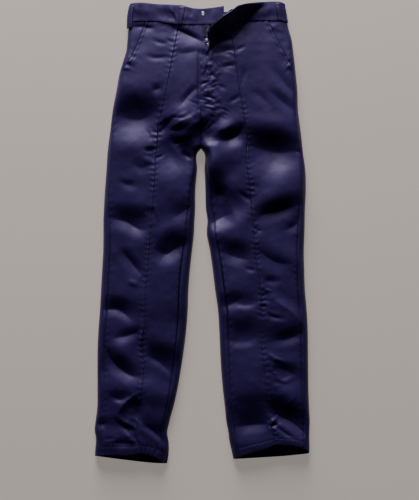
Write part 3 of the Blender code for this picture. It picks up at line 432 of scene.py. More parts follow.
def bell(distance, width):
    """From 1 on a line to nothing at about twice the width on both sides of it."""
    return np.exp(-(distance / width) ** 2)


def curve(table, column, at):
    """Read a table's column with a smooth curve through its rows."""
    xs = table[:, 0]
    ys = table[:, column]
    slopes = np.gradient(ys, xs)
    at = np.clip(np.asarray(at, float), xs[0], xs[-1])
    k = np.clip(np.searchsorted(xs, at) - 1, 0, len(xs) - 2)
    span = xs[k + 1] - xs[k]
    t = (at - xs[k]) / span
    return ((1 + 2 * t) * (1 - t) ** 2 * ys[k] + t * (1 - t) ** 2 * span * slopes[k]
            + t * t * (3 - 2 * t) * ys[k + 1] + t * t * (t - 1) * span * slopes[k + 1])


def along_path(x, down, points):
    """Distance to a path of (x, down), the hand it lies on, and how far along the path it is."""
    points = np.asarray(points, float)
    lengths = np.hypot(*np.diff(points, axis=0).T)
    starts = np.concatenate([[0.0], np.cumsum(lengths)])
    nearest = np.full(x.shape, 1e9)
    hand = np.zeros(x.shape)
    run = np.zeros(x.shape)
    for (ax, ad), (bx, bd), length, start in zip(points, points[1:], lengths, starts):
        t = np.clip(((x - ax) * (bx - ax) + (down - ad) * (bd - ad)) / length ** 2, 0, 1)
        off_x = x - ax - t * (bx - ax)
        off_down = down - ad - t * (bd - ad)
        distance = np.hypot(off_x, off_down)
        closer = distance < nearest
        nearest = np.where(closer, distance, nearest)
        hand = np.where(closer, ((bx - ax) * off_down - (bd - ad) * off_x) / length, hand)
        run = np.where(closer, start + t * length, run)
    return nearest, hand, run, starts


def rounded_path(points, step=6.0):
    """The path's points joined by a smooth curve, so that a fold has no corners."""
    points = np.asarray(points, float)
    if len(points) < 3:
        return points
    lengths = np.hypot(*np.diff(points, axis=0).T)
    at = np.concatenate([[0.0], np.cumsum(lengths)])
    fine = np.linspace(0, at[-1], max(3, int(at[-1] / step)))
    table = np.column_stack([at, points])
    return np.column_stack([curve(table, 1, fine), curve(table, 2, fine)])


def fold_height(x, down, fold, spread=1.0):
    """Height that one fold adds: full on its path, none past its reach and at its ends."""
    height = np.zeros(x.shape)
    path = rounded_path(fold.path)
    reach = max(fold.left, fold.right) * spread
    low = path.min(axis=0) - reach
    high = path.max(axis=0) + reach
    near = (x > low[0]) & (x < high[0]) & (down > low[1]) & (down < high[1])
    if not near.any():
        return height
    distance, hand, run, starts = along_path(x[near], down[near], path)
    side = 0.5 + 0.5 * np.clip(hand / (0.7 * distance + 1.0), -1, 1)
    rest = np.clip(1.0 - distance / (spread * (fold.left + (fold.right - fold.left) * side)), 0.0, 1.0)
    crisp = 1.0 - (1.0 - fold.crisp) / spread
    across = (1 - crisp) * smooth(rest) + crisp * rest ** 2
    ends = smooth(np.minimum(run, starts[-1] - run) / (0.45 * starts[-1]) * 0.75 + 0.25)
    height[near] = fold.lift * across * ends
    return height


def crinkle_height(x, down, patch):
    """Height that one patch of wrinkles adds: ridges along its lean that fade out all round."""
    near = bell(x - patch.x, patch.wide) * bell(down - patch.down, patch.deep)
    lean = math.radians(patch.lean)
    along = x * math.cos(lean) + down * math.sin(lean)
    across = down * math.cos(lean) - x * math.sin(lean)
    seed = int(abs(patch.x) * 7 + patch.down)
    ridges = 1.0 - 2.0 * np.sqrt(ripple(across, along, patch.span, seed, 2.4) ** 2 + 0.006)
    return patch.height * near * (ridges + 0.5 * ripple(across, along, 0.55 * patch.span, seed + 1, 2.0))


def calm_near_metal(x, down):
    """From 0 where the bar and slider sit on the cloth to 1 away from them."""
    bar = bell(x - BAR_SPOT[0], BAR_REACH[0]) * bell(down - BAR_SPOT[1], BAR_REACH[1])
    slider = bell(x - SLIDER_SPOT[0], SLIDER_REACH[0]) * bell(down - SLIDER_SPOT[1], SLIDER_REACH[1])
    return 1.0 - np.minimum(1.0, 1.25 * np.maximum(bar, slider))


def swell_height(x, down, swell):
    """Height that one swell adds: a lean at its middle that fades out all round."""
    turn = math.radians(swell.turn)
    along = (x - swell.x) * math.cos(turn) + (down - swell.down) * math.sin(turn)
    across = (down - swell.down) * math.cos(turn) - (x - swell.x) * math.sin(turn)
    return -swell.tilt * across * bell(along, swell.wide) * bell(across, swell.deep)


def corner_height(x, down):
    """Height of the raised corner beside the fly above the front it belongs to."""
    path = rounded_path([(point.x, point.down) for point in RAISED_CORNER])
    nearest, _, run, starts = along_path(x, down, path)
    ends = np.concatenate([[0.0], np.cumsum([math.hypot(b.x - a.x, b.down - a.down)
                                             for a, b in zip(RAISED_CORNER, RAISED_CORNER[1:])])])
    run = run * ends[-1] / starts[-1]
    lift = np.interp(run, ends, [point.lift for point in RAISED_CORNER])
    reach = np.interp(run, ends, [point.reach for point in RAISED_CORNER])
    return lift * np.clip(1.0 - nearest / reach, 0.0, 1.0) ** 1.5


def ripple(x, down, span, seed, stretch=1.0):
    """Smooth uneven waves from -1 to 1, about `span` from crest to crest."""
    values = np.random.RandomState(seed).uniform(-1, 1, (64, 64))
    u = x / span + 900.0
    v = down / (span * stretch) + 900.0
    left = np.floor(u).astype(int)
    top = np.floor(v).astype(int)
    s = smooth(u - left)
    t = smooth(v - top)
    corners = [values[(top + dv) % 64, (left + du) % 64] for dv in (0, 1) for du in (0, 1)]
    return (corners[0] * (1 - s) + corners[1] * s) * (1 - t) + (corners[2] * (1 - s) + corners[3] * s) * t


# The form of the legs

def edge_x(side, down, inner=False):
    """x of the side edge or the inner edge of a leg."""
    column = {(-1, False): 1, (-1, True): 2, (1, True): 3, (1, False): 4}[(side, inner)]
    return curve(OUTLINE, column, down)


def round_off(depth, reach):
    """Quarter round from 0 at an edge to 1 at its reach."""
    rest = np.clip(1.0 - depth / reach, 0.0, 1.0)
    return np.sqrt(np.clip(1.0 - rest ** 2, 0.0, 1.0))


def top_height(side, x, down):
    """Height of the cloth's upper face at (x, down) on one half."""
    x, down = np.broadcast_arrays(np.asarray(x, float), np.asarray(down, float))
    outer = edge_x(side, down)
    inner = edge_x(side, down, inner=True)
    crown = curve(CROWN, 1, down)
    across_leg = np.clip((x - outer) / (inner - outer), 0, 1)
    middle = 0.5 * (edge_x(-1, down) + edge_x(1, down))
    across_hip = (x - middle) / (0.5 * (edge_x(1, down) - edge_x(-1, down)))
    hip = crown * (1 - HIP_FALL * across_hip ** 2)
    leg = crown * (1 - LEG_FALL * (2 * across_leg - 1) ** 2)
    parting = smooth((down - PARTING_START) / PARTING_REACH)
    inner_round = 1 - parting * (1 - round_off(side * (x - inner), INNER_OVER))
    full = (1 - parting) * hip + parting * leg
    rounding = round_off(side * (outer - x), SIDE_OVER) * inner_round
    folds = sum(fold_height(x, down, fold, sizes().fold_spread) for fold in LARGE_FOLDS) * sizes().fold_depth
    folds = folds + sum(fold_height(x, down, fold) for fold in SMALL_FOLDS)
    folds = folds + sum(swell_height(x, down, swell) for swell in SWELLS) * sizes().swell_depth
    fine = sum(crinkle_height(x, down, patch) for patch in CRINKLES) * sizes().crinkle_depth
    for share, span, seed in ((0.8, 46, 3), (0.45, 23, 5), (0.2, 11, 7)):
        fine = fine + sizes().waviness * share * ripple(x, down, span, seed)
    folds = folds + fine * calm_near_metal(x, down)
    inner_fade = smooth(np.abs(x - inner) / FOLD_FADE)
    edges = smooth(side * (outer - x) / FOLD_FADE) * (1 - parting * (1 - inner_fade))
    height = SIDE_UNDER + (full - SIDE_UNDER) * rounding + folds * edges
    above = height - LOWEST_TOP
    height = LOWEST_TOP + 0.5 * (above + np.sqrt(above ** 2 + EASE_LOW ** 2)) - EASE_DROP
    steep = SIDE_UNDER + (height - SIDE_UNDER) * rounding / STEEP_SIDE
    height = np.where(rounding < STEEP_SIDE, steep, height)
    if side > 0:
        return height + corner_height(x, down)
    under = smooth((x + 15.0) / 8.0) * smooth((down - 104.0) / 14.0) * smooth((254.0 - down) / 6.0)
    return height - LAP_DROP * under


def place(x, down, height):
    """A point in metres from (x, down, height) in millimetres."""
    x, down, height = np.broadcast_arrays(x, down, height)
    return np.stack([x + MIDDLE_X, WAIST_Y - down, height], axis=-1) * MM


def warped(row, x, seam, hem):
    """Where a row crosses x: it follows the waist seam at the top and the hem at the bottom."""
    top = np.clip(1 - (row - WAIST_ROW) / (WARP_END - WAIST_ROW), 0, None)
    bottom = np.clip((row - HEM_START) / (HEM_DOWN - HEM_START), 0, 1)
    return row + (np.interp(x, *seam.T) - WAIST_ROW) * np.minimum(top, 1) + (
        curve(hem, 1, x) - HEM_DOWN) * bottom


def on_front(side, row, x):
    """How far down a front's row crosses x."""
    return warped(row, x, HALVES[side].band_seam, HALVES[side].hem_front)


def seam_x(side, row, inner=False):
    """x of the side seam or of the inside leg seam on a row below the crotch."""
    if inner:
        return edge_x(side, row, inner=True) + side * curve(SEAM_INSET, 2, row)
    return edge_x(side, row) - side * curve(SEAM_INSET, 1, row)


def pocket_mouth(side, row):
    return np.interp(row, POCKET[:, 0], POCKET[:, HALVES[side].column])


def front_inner(side, row):
    """x of a front's inner edge on each row."""
    fly = np.interp(row, *HALVES[side].fly_edge.T)
    return np.where(row > CROTCH_DOWN, seam_x(side, row, inner=True), fly)


def front_outer(side, row):
    """x of a front's outer edge on each row: the pocket mouth, then the side seam."""
    return np.where(row <= POCKET_END, pocket_mouth(side, row), seam_x(side, row))


def leg_rows(step):
    return np.linspace(WAIST_ROW - 4.0, HEM_DOWN, int((HEM_DOWN - WAIST_ROW + 4.0) / step))


# Meshes

def finish_piece(name, points, faces, material, wear_and_shade=None):
    """Make a smooth mesh object from points and faces and put it on the trousers."""
    data = bpy.data.meshes.new(name)
    data.from_pydata(np.asarray(points).tolist(), [], faces)
    data.polygons.foreach_set("use_smooth", [True] * len(data.polygons))
    # The wear_and_shade attribute: above zero paler worn cloth, below zero painted shade
    if wear_and_shade is not None:
        layer = data.attributes.new("wear_and_shade", "FLOAT", "POINT")
        layer.data.foreach_set("value", np.asarray(wear_and_shade, np.float32))
    data.materials.append(bpy.data.materials[material])
    data.update()
    piece = bpy.data.objects.new(name, data)
    bpy.context.scene.collection.objects.link(piece)
    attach(piece, TROUSERS)
    return piece


def quads(first, second):
    """Faces between two index rows of one length."""
    return np.stack([first[:-1], first[1:], second[1:], second[:-1]], axis=-1).reshape(-1, 4)


def unit(vectors):
    return vectors / np.maximum(np.linalg.norm(vectors, axis=-1, keepdims=True), 1e-12)


def grid_normals(points, flip):
    """Unit normals of a grid of points."""
    return unit(flip * np.cross(np.gradient(points, axis=1), np.gradient(points, axis=0)))


def wall(name, outer, thick, material, flip=1, rim=0.4, wear_and_shade=None):
    """A closed cloth wall from a grid of its outer points, with rounded edges all round."""
    rows, columns = outer.shape[:2]
    normal = grid_normals(outer, flip)
    inner = outer - normal * thick * MM
    index = np.arange(rows * columns).reshape(rows, columns)
    border = np.concatenate([index[0, :], index[1:, -1], index[-1, -2::-1], index[-2:0:-1, 0]])
    across = unit(np.gradient(outer, axis=1))
    along = unit(np.gradient(outer, axis=0))
    outward = np.zeros(outer.shape)
    outward[0] -= along[0]
    outward[-1] += along[-1]
    outward[:, 0] -= across[:, 0]
    outward[:, -1] += across[:, -1]
    middle = (outer - normal * thick * MM / 2 + outward * thick * rim * MM).reshape(-1, 3)[border]
    points = np.concatenate([outer.reshape(-1, 3), inner.reshape(-1, 3), middle])
    faces = []
    for r in range(rows - 1):
        faces.append(quads(index[r], index[r + 1]))
        faces.append(quads(index[r + 1], index[r]) + rows * columns)
    ring = np.append(border, border[0])
    edge = np.append(np.arange(len(border)), 0) + 2 * rows * columns
    faces.append(quads(edge, ring))
    faces.append(quads(ring + rows * columns, edge))
    faces = np.concatenate(faces)
    sample = points[faces[columns // 2]]
    facing = np.cross(sample[1] - sample[0], sample[2] - sample[0])
    if facing @ normal.reshape(-1, 3)[faces[columns // 2][0]] < 0:
        faces = faces[:, ::-1]
    if wear_and_shade is not None:
        flat = np.asarray(wear_and_shade).reshape(-1)
        wear_and_shade = np.concatenate([flat, flat, flat[border]])
    return finish_piece(name, points, faces.tolist(), material, wear_and_shade=wear_and_shade)


def box_corners(node):
    low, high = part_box(node)
    return np.array(low), np.array(high)


def settled(x, down, height, node, reach=9.0):
    """The cloth's height, lowered softly where it would rise into a solid that lies on it."""
    low, high = box_corners(node)
    half = (high - low) / (2 * MM)
    off_x = np.abs(x + MIDDLE_X - (low[0] + high[0]) / (2 * MM)) - half[0]
    off_down = np.abs(WAIST_Y - down - (low[1] + high[1]) / (2 * MM)) - half[1]
    away = np.hypot(np.maximum(off_x, 0), np.maximum(off_down, 0))
    return height - (1 - smooth(away / reach)) * np.maximum(height - low[2] / MM + 0.6, 0)


def as_cloth(nodes):
    """Hide the solids that a cloth piece stands for."""
    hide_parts(*nodes)


# Cloth panels

def front_grid(side, step):
    """x and row of a front's points: even to the crease, close over it, and even to the outer edge."""
    rows = leg_rows(step)
    crease = curve(CREASE, HALVES[side].column, rows)
    before = np.linspace(front_inner(side, rows), crease - side * CREASE_HALF, int(110 / step), axis=1)
    over = crease[:, None] + side * np.linspace(-CREASE_HALF, CREASE_HALF, 9)[None, 1:-1]
    after = np.linspace(crease + side * CREASE_HALF, front_outer(side, rows), int(112 / step), axis=1)
    x = np.concatenate([before, over, after], axis=1)
    return x, np.broadcast_to(rows[:, None], x.shape), crease[:, None]


def seam_puckers(distance, along, reach, pitch, seed):
    """Small slanted puckers that a row of stitches draws into the cloth on both sides of it."""
    uneven = 0.5 + 0.5 * ripple(along, along * 0, 2.7 * pitch, seed)
    drift = 2.5 * ripple(along, along * 0, 60, seed + 1)
    wave = np.sin(2 * math.pi * (along + 0.35 * np.abs(distance)) / pitch + drift)
    return wave * uneven * bell(distance, reach)


def make_front(side, name):
    """One front leg with its stitched crease, pocket edge, fly edge and hem."""
    x, row, crease = front_grid(side, sizes().cloth_step)
    down = on_front(side, row, x)
    off = x - crease
    to_stitches = off + side * CREASE_STITCHES
    to_hem = HEM_DOWN - HEM_DEEP - row
    to_seam = np.abs(x - front_outer(side, row))
    to_inner = np.abs(x - front_inner(side, row))
    to_band = row - WAIST_ROW
    beside_pocket = smooth((POCKET_END - row) / 5.0)
    below_pocket = row > POCKET_END + 4
    below_fly = row > PARTING_START

    height = top_height(side, x, down) + sizes().crease_rise * bell(off, 1.3) - 0.6 * bell(to_stitches, 0.9)
    height = height + 0.5 * smooth(-to_hem / 1.5) - 0.7 * bell(to_hem, 1.3)
    height = height - SEAM_GROOVE * (bell(to_seam, 1.6) * below_pocket + bell(to_inner, 1.6) * below_fly)
    height = height + (0.4 * bell(to_seam, 7.0) - 0.5 * bell(to_seam - POCKET_STITCHES, 1.0)) * beside_pocket
    for distance, along, reach, pitch, seed, share in (
            (off, down, 8.0, 13.0, 11, 1.0), (to_hem, x, 9.0, 10.0, 21, 0.8),
            (to_seam, down, 7.0, 15.0, 31, 0.6), (to_inner, down, 7.0, 17.0, 41, 0.6 * (row > 110)),
            (to_band, x, 9.0, 12.0, 51, 0.7)):
        puckers = seam_puckers(distance, along, reach, pitch, seed + side)
        height = height + share * sizes().pucker_depth * puckers
    for spot_x, spot_down, rise in GAPES[side]:
        gape = bell(x - spot_x, 11.0) * bell(down - spot_down, 7.0)
        height = height + rise * gape * (row <= POCKET_END + 1)

    # rubbed is paler worn cloth at the crease, pocket edge and hem; the grooves are painted shade along the
    # stitch rows, hem, band seam, leg seams and pocket stitches
    rubbed = bell(off, 1.2) + bell(to_seam, 1.5) * (row < POCKET_END) + bell(HEM_DOWN - row, 2.0)
    painted_groove_shade = 1.6 * bell(to_stitches, 1.0) + 0.8 * bell(to_hem, 1.5) + 0.2 * bell(to_band, 2.5)
    painted_groove_shade = painted_groove_shade + 0.55 * (bell(to_seam, 1.5) * below_pocket + bell(to_inner, 1.5) * below_fly)
    painted_groove_shade = painted_groove_shade + 0.7 * bell(to_seam - POCKET_STITCHES, 1.0) * (row < POCKET_END)
    wear_and_shade = np.clip(rubbed - painted_groove_shade, -1, 1)
    piece = wall(name, place(x, down, height), CLOTH, "navy_twill", flip=side, wear_and_shade=wear_and_shade)
    as_cloth([name])


def make_facing(side, name):
    """The piece behind a slanted pocket mouth, which runs on under the front's edge."""
    rows = np.linspace(WAIST_ROW - 3, POCKET_END + 2, 56)
    mouth = pocket_mouth(side, rows)
    x = np.linspace(mouth - side * 9.0, seam_x(side, rows) - side * 0.1, 24, axis=1)
    down = on_front(side, np.broadcast_to(rows[:, None], x.shape), x)
    behind = side * (mouth[:, None] - x)
    height = top_height(side, x, down) - 1.5 * smooth(behind / 3.0 + 0.9) - 0.8 * bell(behind, 6.0)
    height = height - SEAM_GROOVE * bell(x[:, -1:] - x, 1.6)
    height = height + 0.5 * sizes().pucker_depth * ripple(x, down, 9.0, 61 + side)
    piece = wall(name, place(x, down, height), CLOTH, "navy_twill", flip=side)
    as_cloth([name])


def turn_at(inset, reach):
    """The angle round a side fold of that reach which lies that far inside its widest line."""
    return np.arccos(1 - np.minimum(inset / reach, 1))


def share_of_front(turns):
    """How far a point round a side fold keeps to the front's rows: 0 below the fold, 1 on top of it."""
    return np.clip(turns / QUARTER * 0.6 + 0.5, 0, 1)


def side_section(side, rows, inner, turns):
    """x and height round a side fold for each row and turn: turns are above 0 over its widest line."""
    edge = edge_x(side, rows, inner=inner)[:, None]
    inward = side if inner else -side
    reach = np.where(turns > 0, INNER_OVER if inner else SIDE_OVER, SIDE_UNDER)
    return edge + inward * reach * (1 - np.cos(turns)), SIDE_UNDER * (1 + np.sin(turns))


def make_back(side, name):
    """One back leg: from the side seam, round the fold, along the surface, up to the inside leg seam."""
    rows = leg_rows(sizes().cloth_step)
    legs = (rows > CROTCH_DOWN)[:, None]
    over = np.linspace(1, 0, 9)[None, :]
    under = np.broadcast_to(np.linspace(0, -QUARTER, 7)[None, 1:], (len(rows), 6))
    turns = np.concatenate([turn_at(curve(SEAM_INSET, 1, rows), SIDE_OVER)[:, None] * over, under], axis=1)
    inner_over = turn_at(curve(SEAM_INSET, 2, rows), INNER_OVER)[:, None] * over[:, ::-1]
    inner_turns = np.concatenate([under[:, ::-1], inner_over], axis=1)
    side_x, side_z = side_section(side, rows, False, turns)
    inner_x, inner_z = side_section(side, rows, True, inner_turns)
    inner_x = np.where(legs, inner_x, side * np.linspace(6.0, 0.1, inner_x.shape[1])[None, :])
    floor = np.linspace(side_x[:, -1], inner_x[:, 0], 10, axis=1)[:, 1:-1]
    x = np.concatenate([side_x, floor, inner_x], axis=1)
    z = np.concatenate([side_z, floor * 0, np.where(legs, inner_z, 0.0)], axis=1)

    lift = np.concatenate([share_of_front(turns), floor * 0, share_of_front(inner_turns) * legs], axis=1)
    lift[:, 0] = 1.0
    lift[:, -1:] = legs
    row = np.broadcast_to(rows[:, None], x.shape)
    back_down = warped(row, x, BACK_SEAM, HALVES[side].hem_back)
    down = lift * on_front(side, row, x) + (1 - lift) * back_down
    top = np.concatenate([turns > 0, np.zeros(floor.shape, bool), (inner_turns > 0) & legs], axis=1)
    to_seam = np.abs(x - x[:, :1])
    to_inner = np.abs(x - x[:, -1:])
    height = np.where(top, top_height(side, x, down), z)
    height = height - SEAM_GROOVE * (bell(to_seam, 1.6) + bell(to_inner, 1.6) * legs) * top

    tuck_x = x[:, :1] - side * 4.0
    tuck = place(tuck_x, down[:, :1], top_height(side, tuck_x, down[:, :1]) - 2.2)
    outer = np.concatenate([tuck, place(x, down, height)], axis=1)
    # Painted shade along the side and inside leg seams
    painted_seam_shade = np.clip(bell(to_seam, 1.5) + bell(to_inner, 1.5) * legs, 0, 1)
    wear_and_shade = -0.55 * np.hstack([painted_seam_shade[:, :1], painted_seam_shade])
    piece = wall(name, outer, CLOTH, "navy_twill", flip=-side, wear_and_shade=wear_and_shade)
    as_cloth([name])


def band_edges(side, count):
    """x along the band's top edge and along its seam, from the front end to the side."""
    outer = float(seam_x(side, WAIST_ROW))
    lower = np.linspace(BAND_END, outer, count)
    swing = LEFT_CORNER - BAND_END if side > 0 else 0.0
    return lower + swing * np.clip((outer - lower) / (outer - BAND_END), 0, 1), lower


def band_down(side, level, upper, lower):
    """How far down a line along the band lies: level is 0 on its top edge and 1 on its seam."""
    half = HALVES[side]
    return (1 - level) * curve(half.band_top, 1, upper) + level * np.interp(lower, *half.band_seam.T)


def make_waistband(side, name):
    """Half of the band: from its front end, round the side fold, along the surface to the centre back."""
    upper, lower = band_edges(side, 110 if side < 0 else 80)
    over_turns = turn_at(4.0, SIDE_OVER) * np.linspace(1, 0, 6)[1:]
    turns = np.concatenate([over_turns, np.linspace(0, -QUARTER, 7)[1:]])
    floor_x = side * np.linspace(150.0, 0.2, 12)
    lift = np.concatenate([share_of_front(turns), np.zeros(floor_x.shape)])
    over = np.concatenate([turns > 0, np.zeros(floor_x.shape, bool)])
    grid = []
    wear_and_shade = []
    for level in np.linspace(0, 1, 25):
        x = upper + (lower - upper) * level
        down = band_down(side, level, upper, lower)
        to_stitches = BAND_DEEP * min(level, 1 - level) - 2.2
        to_lower_edge = (1 - level) * BAND_DEEP
        height = top_height(side, x, down) + BAND_RAISE - 0.35 * bell(to_stitches, 0.9)
        puckers = 0.7 * ripple(x, down, 12, 71 + side) + 0.5 * ripple(x, down, 6, 75 + side, 3.0)
        height = height + sizes().pucker_depth * puckers * calm_near_metal(x, down)
        height = height - 0.4 * bell(to_lower_edge, 1.2)
        if side < 0:
            height = settled(x, down, height, "waist_bar")

        wrap_x, wrap_z = side_section(side, np.array([down[-1]]), False, turns[None, :])
        back_x = np.concatenate([wrap_x[0] + side * BAND_RAISE * np.cos(turns), floor_x])
        under_down = (1 - level) * curve(BACK_TOP, 1, back_x) + level * np.interp(back_x, *BACK_SEAM.T)
        back_down = lift * band_down(side, level, back_x, back_x) + (1 - lift) * under_down
        back_z = np.concatenate([wrap_z[0], np.zeros(floor_x.shape)])
        back_z = np.where(over, top_height(side, back_x, back_down) + BAND_RAISE, back_z)
        grid.append(np.concatenate([place(x, down, height), place(back_x, back_down, back_z)]))
        # Paler worn top edge, with painted shade along the lower edge and the rows of stitches
        edges = 0.5 * bell(level * BAND_DEEP, 1.5) - 0.2 * bell(to_lower_edge, 1.6)
        wear_and_shade.append([edges - 0.5 * bell(to_stitches, 0.9)] * len(grid[-1]))
    piece = wall(name, np.array(grid), BAND, "navy_twill", flip=side, rim=0.5, wear_and_shade=np.array(wear_and_shade))
    as_cloth([name])


def make_loop(name, side, x, lean):
    """A belt loop: a folded strip, tacked down at both ends and standing a little off the band."""
    start = float(curve(HALVES[side].band_top, 1, x)) + 2.4
    end = float(np.interp(x, *HALVES[side].band_seam.T)) - 0.6
    part = np.linspace(0, 1, 26)[:, None]
    across = np.linspace(-0.5, 0.5, 9)[None, :]
    xs = x + lean * part + across * LOOP_WIDE
    downs = np.broadcast_to(start + (end - start) * part, xs.shape)
    stand = LOOP_STAND + LOOP_ARCH * np.sin(math.pi * part) ** 0.7
    stand = stand - 0.5 * bell(np.abs(across) * LOOP_WIDE - 3.6, 0.7)
    height = top_height(side, xs, downs) + BAND_RAISE + stand
    # Painted shadow lines along the loop's long edges
    wear_and_shade = np.broadcast_to(-0.9 * bell(np.abs(across) - 0.5, 0.12), xs.shape)
    piece = wall(name, place(xs, downs, height), LOOP_THICK, "navy_twill", flip=-1, rim=0.5, wear_and_shade=wear_and_shade)
    as_cloth([name])


def make_side_loop():
    """The loop at the right side, which lies over the side fold."""
    turns = np.linspace(1.15, -0.6, 11)
    grid = []
    for part in np.linspace(0, 1, 26):
        down = SIDE_LOOP_DOWN[0] + part * (SIDE_LOOP_DOWN[1] - SIDE_LOOP_DOWN[0])
        stand = 2.4 + 1.2 * math.sin(math.pi * part) + BAND_RAISE
        x, z = side_section(-1, np.array([down]), False, turns[None, :])
        z = np.where(turns > 0, top_height(-1, x[0], np.full(len(turns), down)), z[0])
        grid.append(place(x[0] - np.cos(turns) * stand, down, z + np.sin(turns) * stand))
    piece = wall("belt_loop_side_right", np.array(grid), LOOP_THICK, "navy_twill", flip=-1, rim=0.5)
    as_cloth(["loop_side_right"])


def make_shield():
    """The strip behind the zip, sewn to the right front's edge."""
    rows = np.linspace(50, 118, 34)
    x = np.linspace(np.full(len(rows), -2.0), np.interp(rows, *SHIELD_EDGE.T), 20, axis=1)
    down = np.broadcast_to(rows[:, None], x.shape)
    height = top_height(-1, np.minimum(x, 60), down) - 0.5 * smooth((3 - x) / 3)
    height = height + 0.8 * ripple(x, down, 14, 81) + 1.2 * bell(x - 12 - 0.12 * (down - 50), 5)
    height = settled(x, down, height, "zip_slider", 5.0)
    piece = wall("fly_shield_cloth", place(x, down, height), CLOTH, "navy_twill")
    as_cloth(["fly_shield"])


# Zip and metal

def rows_of_blocks(name, centres, along, up, size, material):
    """Many small rounded blocks in one mesh. size is length along, width across and thickness."""
    ring = [(-0.5, 0.55), (-0.32, 1.0), (0.32, 1.0), (0.5, 0.55)]
    square = [(-0.5, -0.5), (0.5, -0.5), (0.5, 0.5), (-0.5, 0.5)]
    points = []
    faces = []
    for centre, ahead, top in zip(centres, unit(np.asarray(along)), np.broadcast_to(up, np.shape(along))):
        across = unit(np.cross(ahead, top))
        top = np.cross(across, ahead)
        base = len(points)
        for part, scale in ring:
            for u, v in square:
                corner = ahead * part * size[0] + across * u * size[1] * scale + top * v * size[2] * scale
                points.append(centre + corner * MM)
        for first in range(base, base + 12, 4):
            for c in range(4):
                after = (c + 1) % 4
                faces.append((first + c, first + after, first + after + 4, first + c + 4))
        faces.append((base + 3, base + 2, base + 1, base))
        faces.append((base + 12, base + 13, base + 14, base + 15))
    finish_piece(name, points, faces, material)


def make_tape(name, node, points):
    piece = wall(name, points, TAPE, "zip_tape")
    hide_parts(node)


def make_tapes_and_teeth():
    """Woven zip tapes, one on the shield and one under the left front's free edge, with their teeth."""
    x = np.tile(TAPE_X + TAPE_COLUMNS, (18, 1))
    down = np.broadcast_to(np.linspace(53, 79, 18)[:, None], x.shape)
    make_tape("tape_right", "zip_tape_right", place(x, down, top_height(-1, x, down) + TAPE_RAISE))
    rows = np.linspace(54, 98, 40)
    edge = np.interp(rows, *LEFT_EDGE.T)[:, None]
    x = edge + np.linspace(-2.6, 3.0, 7)[None, :]
    down = on_front(1, np.broadcast_to(rows[:, None], x.shape), x)
    height = top_height(1, np.maximum(x, edge), down) - CLOTH - 1.2
    points = place(x, down, height)
    make_tape("tape_left", "zip_tape_left", points)

    line = np.linspace(54, 83, TEETH)
    spots = place(TEETH_X, line, top_height(-1, np.full(TEETH, TEETH_X), line) + TEETH_RAISE)
    across = np.tile([1.0, 0.0, 0.0], (TEETH, 1))
    rows_of_blocks("teeth_right", spots, across, UP, TOOTH, "zip_teeth")
    spots = place(x[:, 0] - 0.3, down[:, 0], height[:, 0] - 0.4)
    across = np.gradient(points, axis=1)[:, 0]
    normal = grid_normals(points, 1)[:, 0]
    rows_of_blocks("teeth_left", spots, across, normal, TOOTH_LEFT, "zip_teeth")


def slider_block(name, middle, size):
    """A block of the zip slider with rounded edges, its size in millimetres."""
    data = bpy.data.meshes.new(name)
    half = np.array(size) / 2 * MM
    corners = [middle + half * (x, y, z) for x in (-1, 1) for y in (-1, 1) for z in (-1, 1)]
    faces = [(0, 1, 3, 2), (4, 6, 7, 5), (0, 4, 5, 1), (2, 3, 7, 6), (0, 2, 6, 4), (1, 5, 7, 3)]
    data.from_pydata(corners, [], faces)
    data.materials.append(bpy.data.materials["zip_metal"])
    piece = bpy.data.objects.new(name, data)
    bpy.context.scene.collection.objects.link(piece)
    rounding = piece.modifiers.new("Rounded edges", "BEVEL")
    rounding.width = 0.35 * MM
    rounding.segments = 3
    data.polygons.foreach_set("use_smooth", [True] * len(data.polygons))
    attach(piece, TROUSERS)
    return piece


def make_slider():
    """The zip slider: a lower plate, an upper plate and the bridge that the pull hangs from."""
    low, high = box_corners("zip_slider")
    half_thick = (high[2] - low[2]) / MM / 2
    for name, size, shift, lift in (("slider_plate_lower", (6.6, 8.6, 0.9), 0.0, 0.45 - half_thick),
                                    ("slider_plate_upper", (6.6, 8.6, 0.9), 0.0, 0.6),
                                    ("slider_post", (2.4, 3.0, 1.4), 1.2, -0.5),
                                    ("slider_bridge", (1.7, 6.4, 0.9), 0.0, half_thick - 0.25)):
        piece = slider_block(name, (low + high) / 2 + np.array([0, shift, lift]) * MM, size)
        if name == "slider_plate_upper":
            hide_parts("zip_slider")


def make_metal():
    """The eye bar, hook and pull keep their solids and get their finish."""
    for node, material in (("waist_bar", "plated_steel"), ("waist_hook", "plated_steel"),
                           ("zip_pull", "zip_metal")):
        data = bpy.data.objects[node].data
        data.materials.clear()
        data.materials.append(bpy.data.materials[material])


# Stitching

def stitch_run(side, xs, downs, raised):
    """Centres and directions of the stitches along a line on the cloth."""
    points = place(xs, downs, top_height(side, xs, downs) + raised)
    steps = np.linalg.norm(np.diff(points, axis=0), axis=1)
    at = np.concatenate([[0.0], np.cumsum(steps)])
    middles = np.arange(STITCH_PITCH / 2, at[-1] / MM, STITCH_PITCH) * MM

    def on_line(distance):
        return np.stack([np.interp(distance, at, points[:, k]) for k in range(3)], axis=-1)

    direction = on_line(middles + 0.5 * MM) - on_line(middles - 0.5 * MM)
    return on_line(middles) + UP * STITCH_LIFT * MM, direction


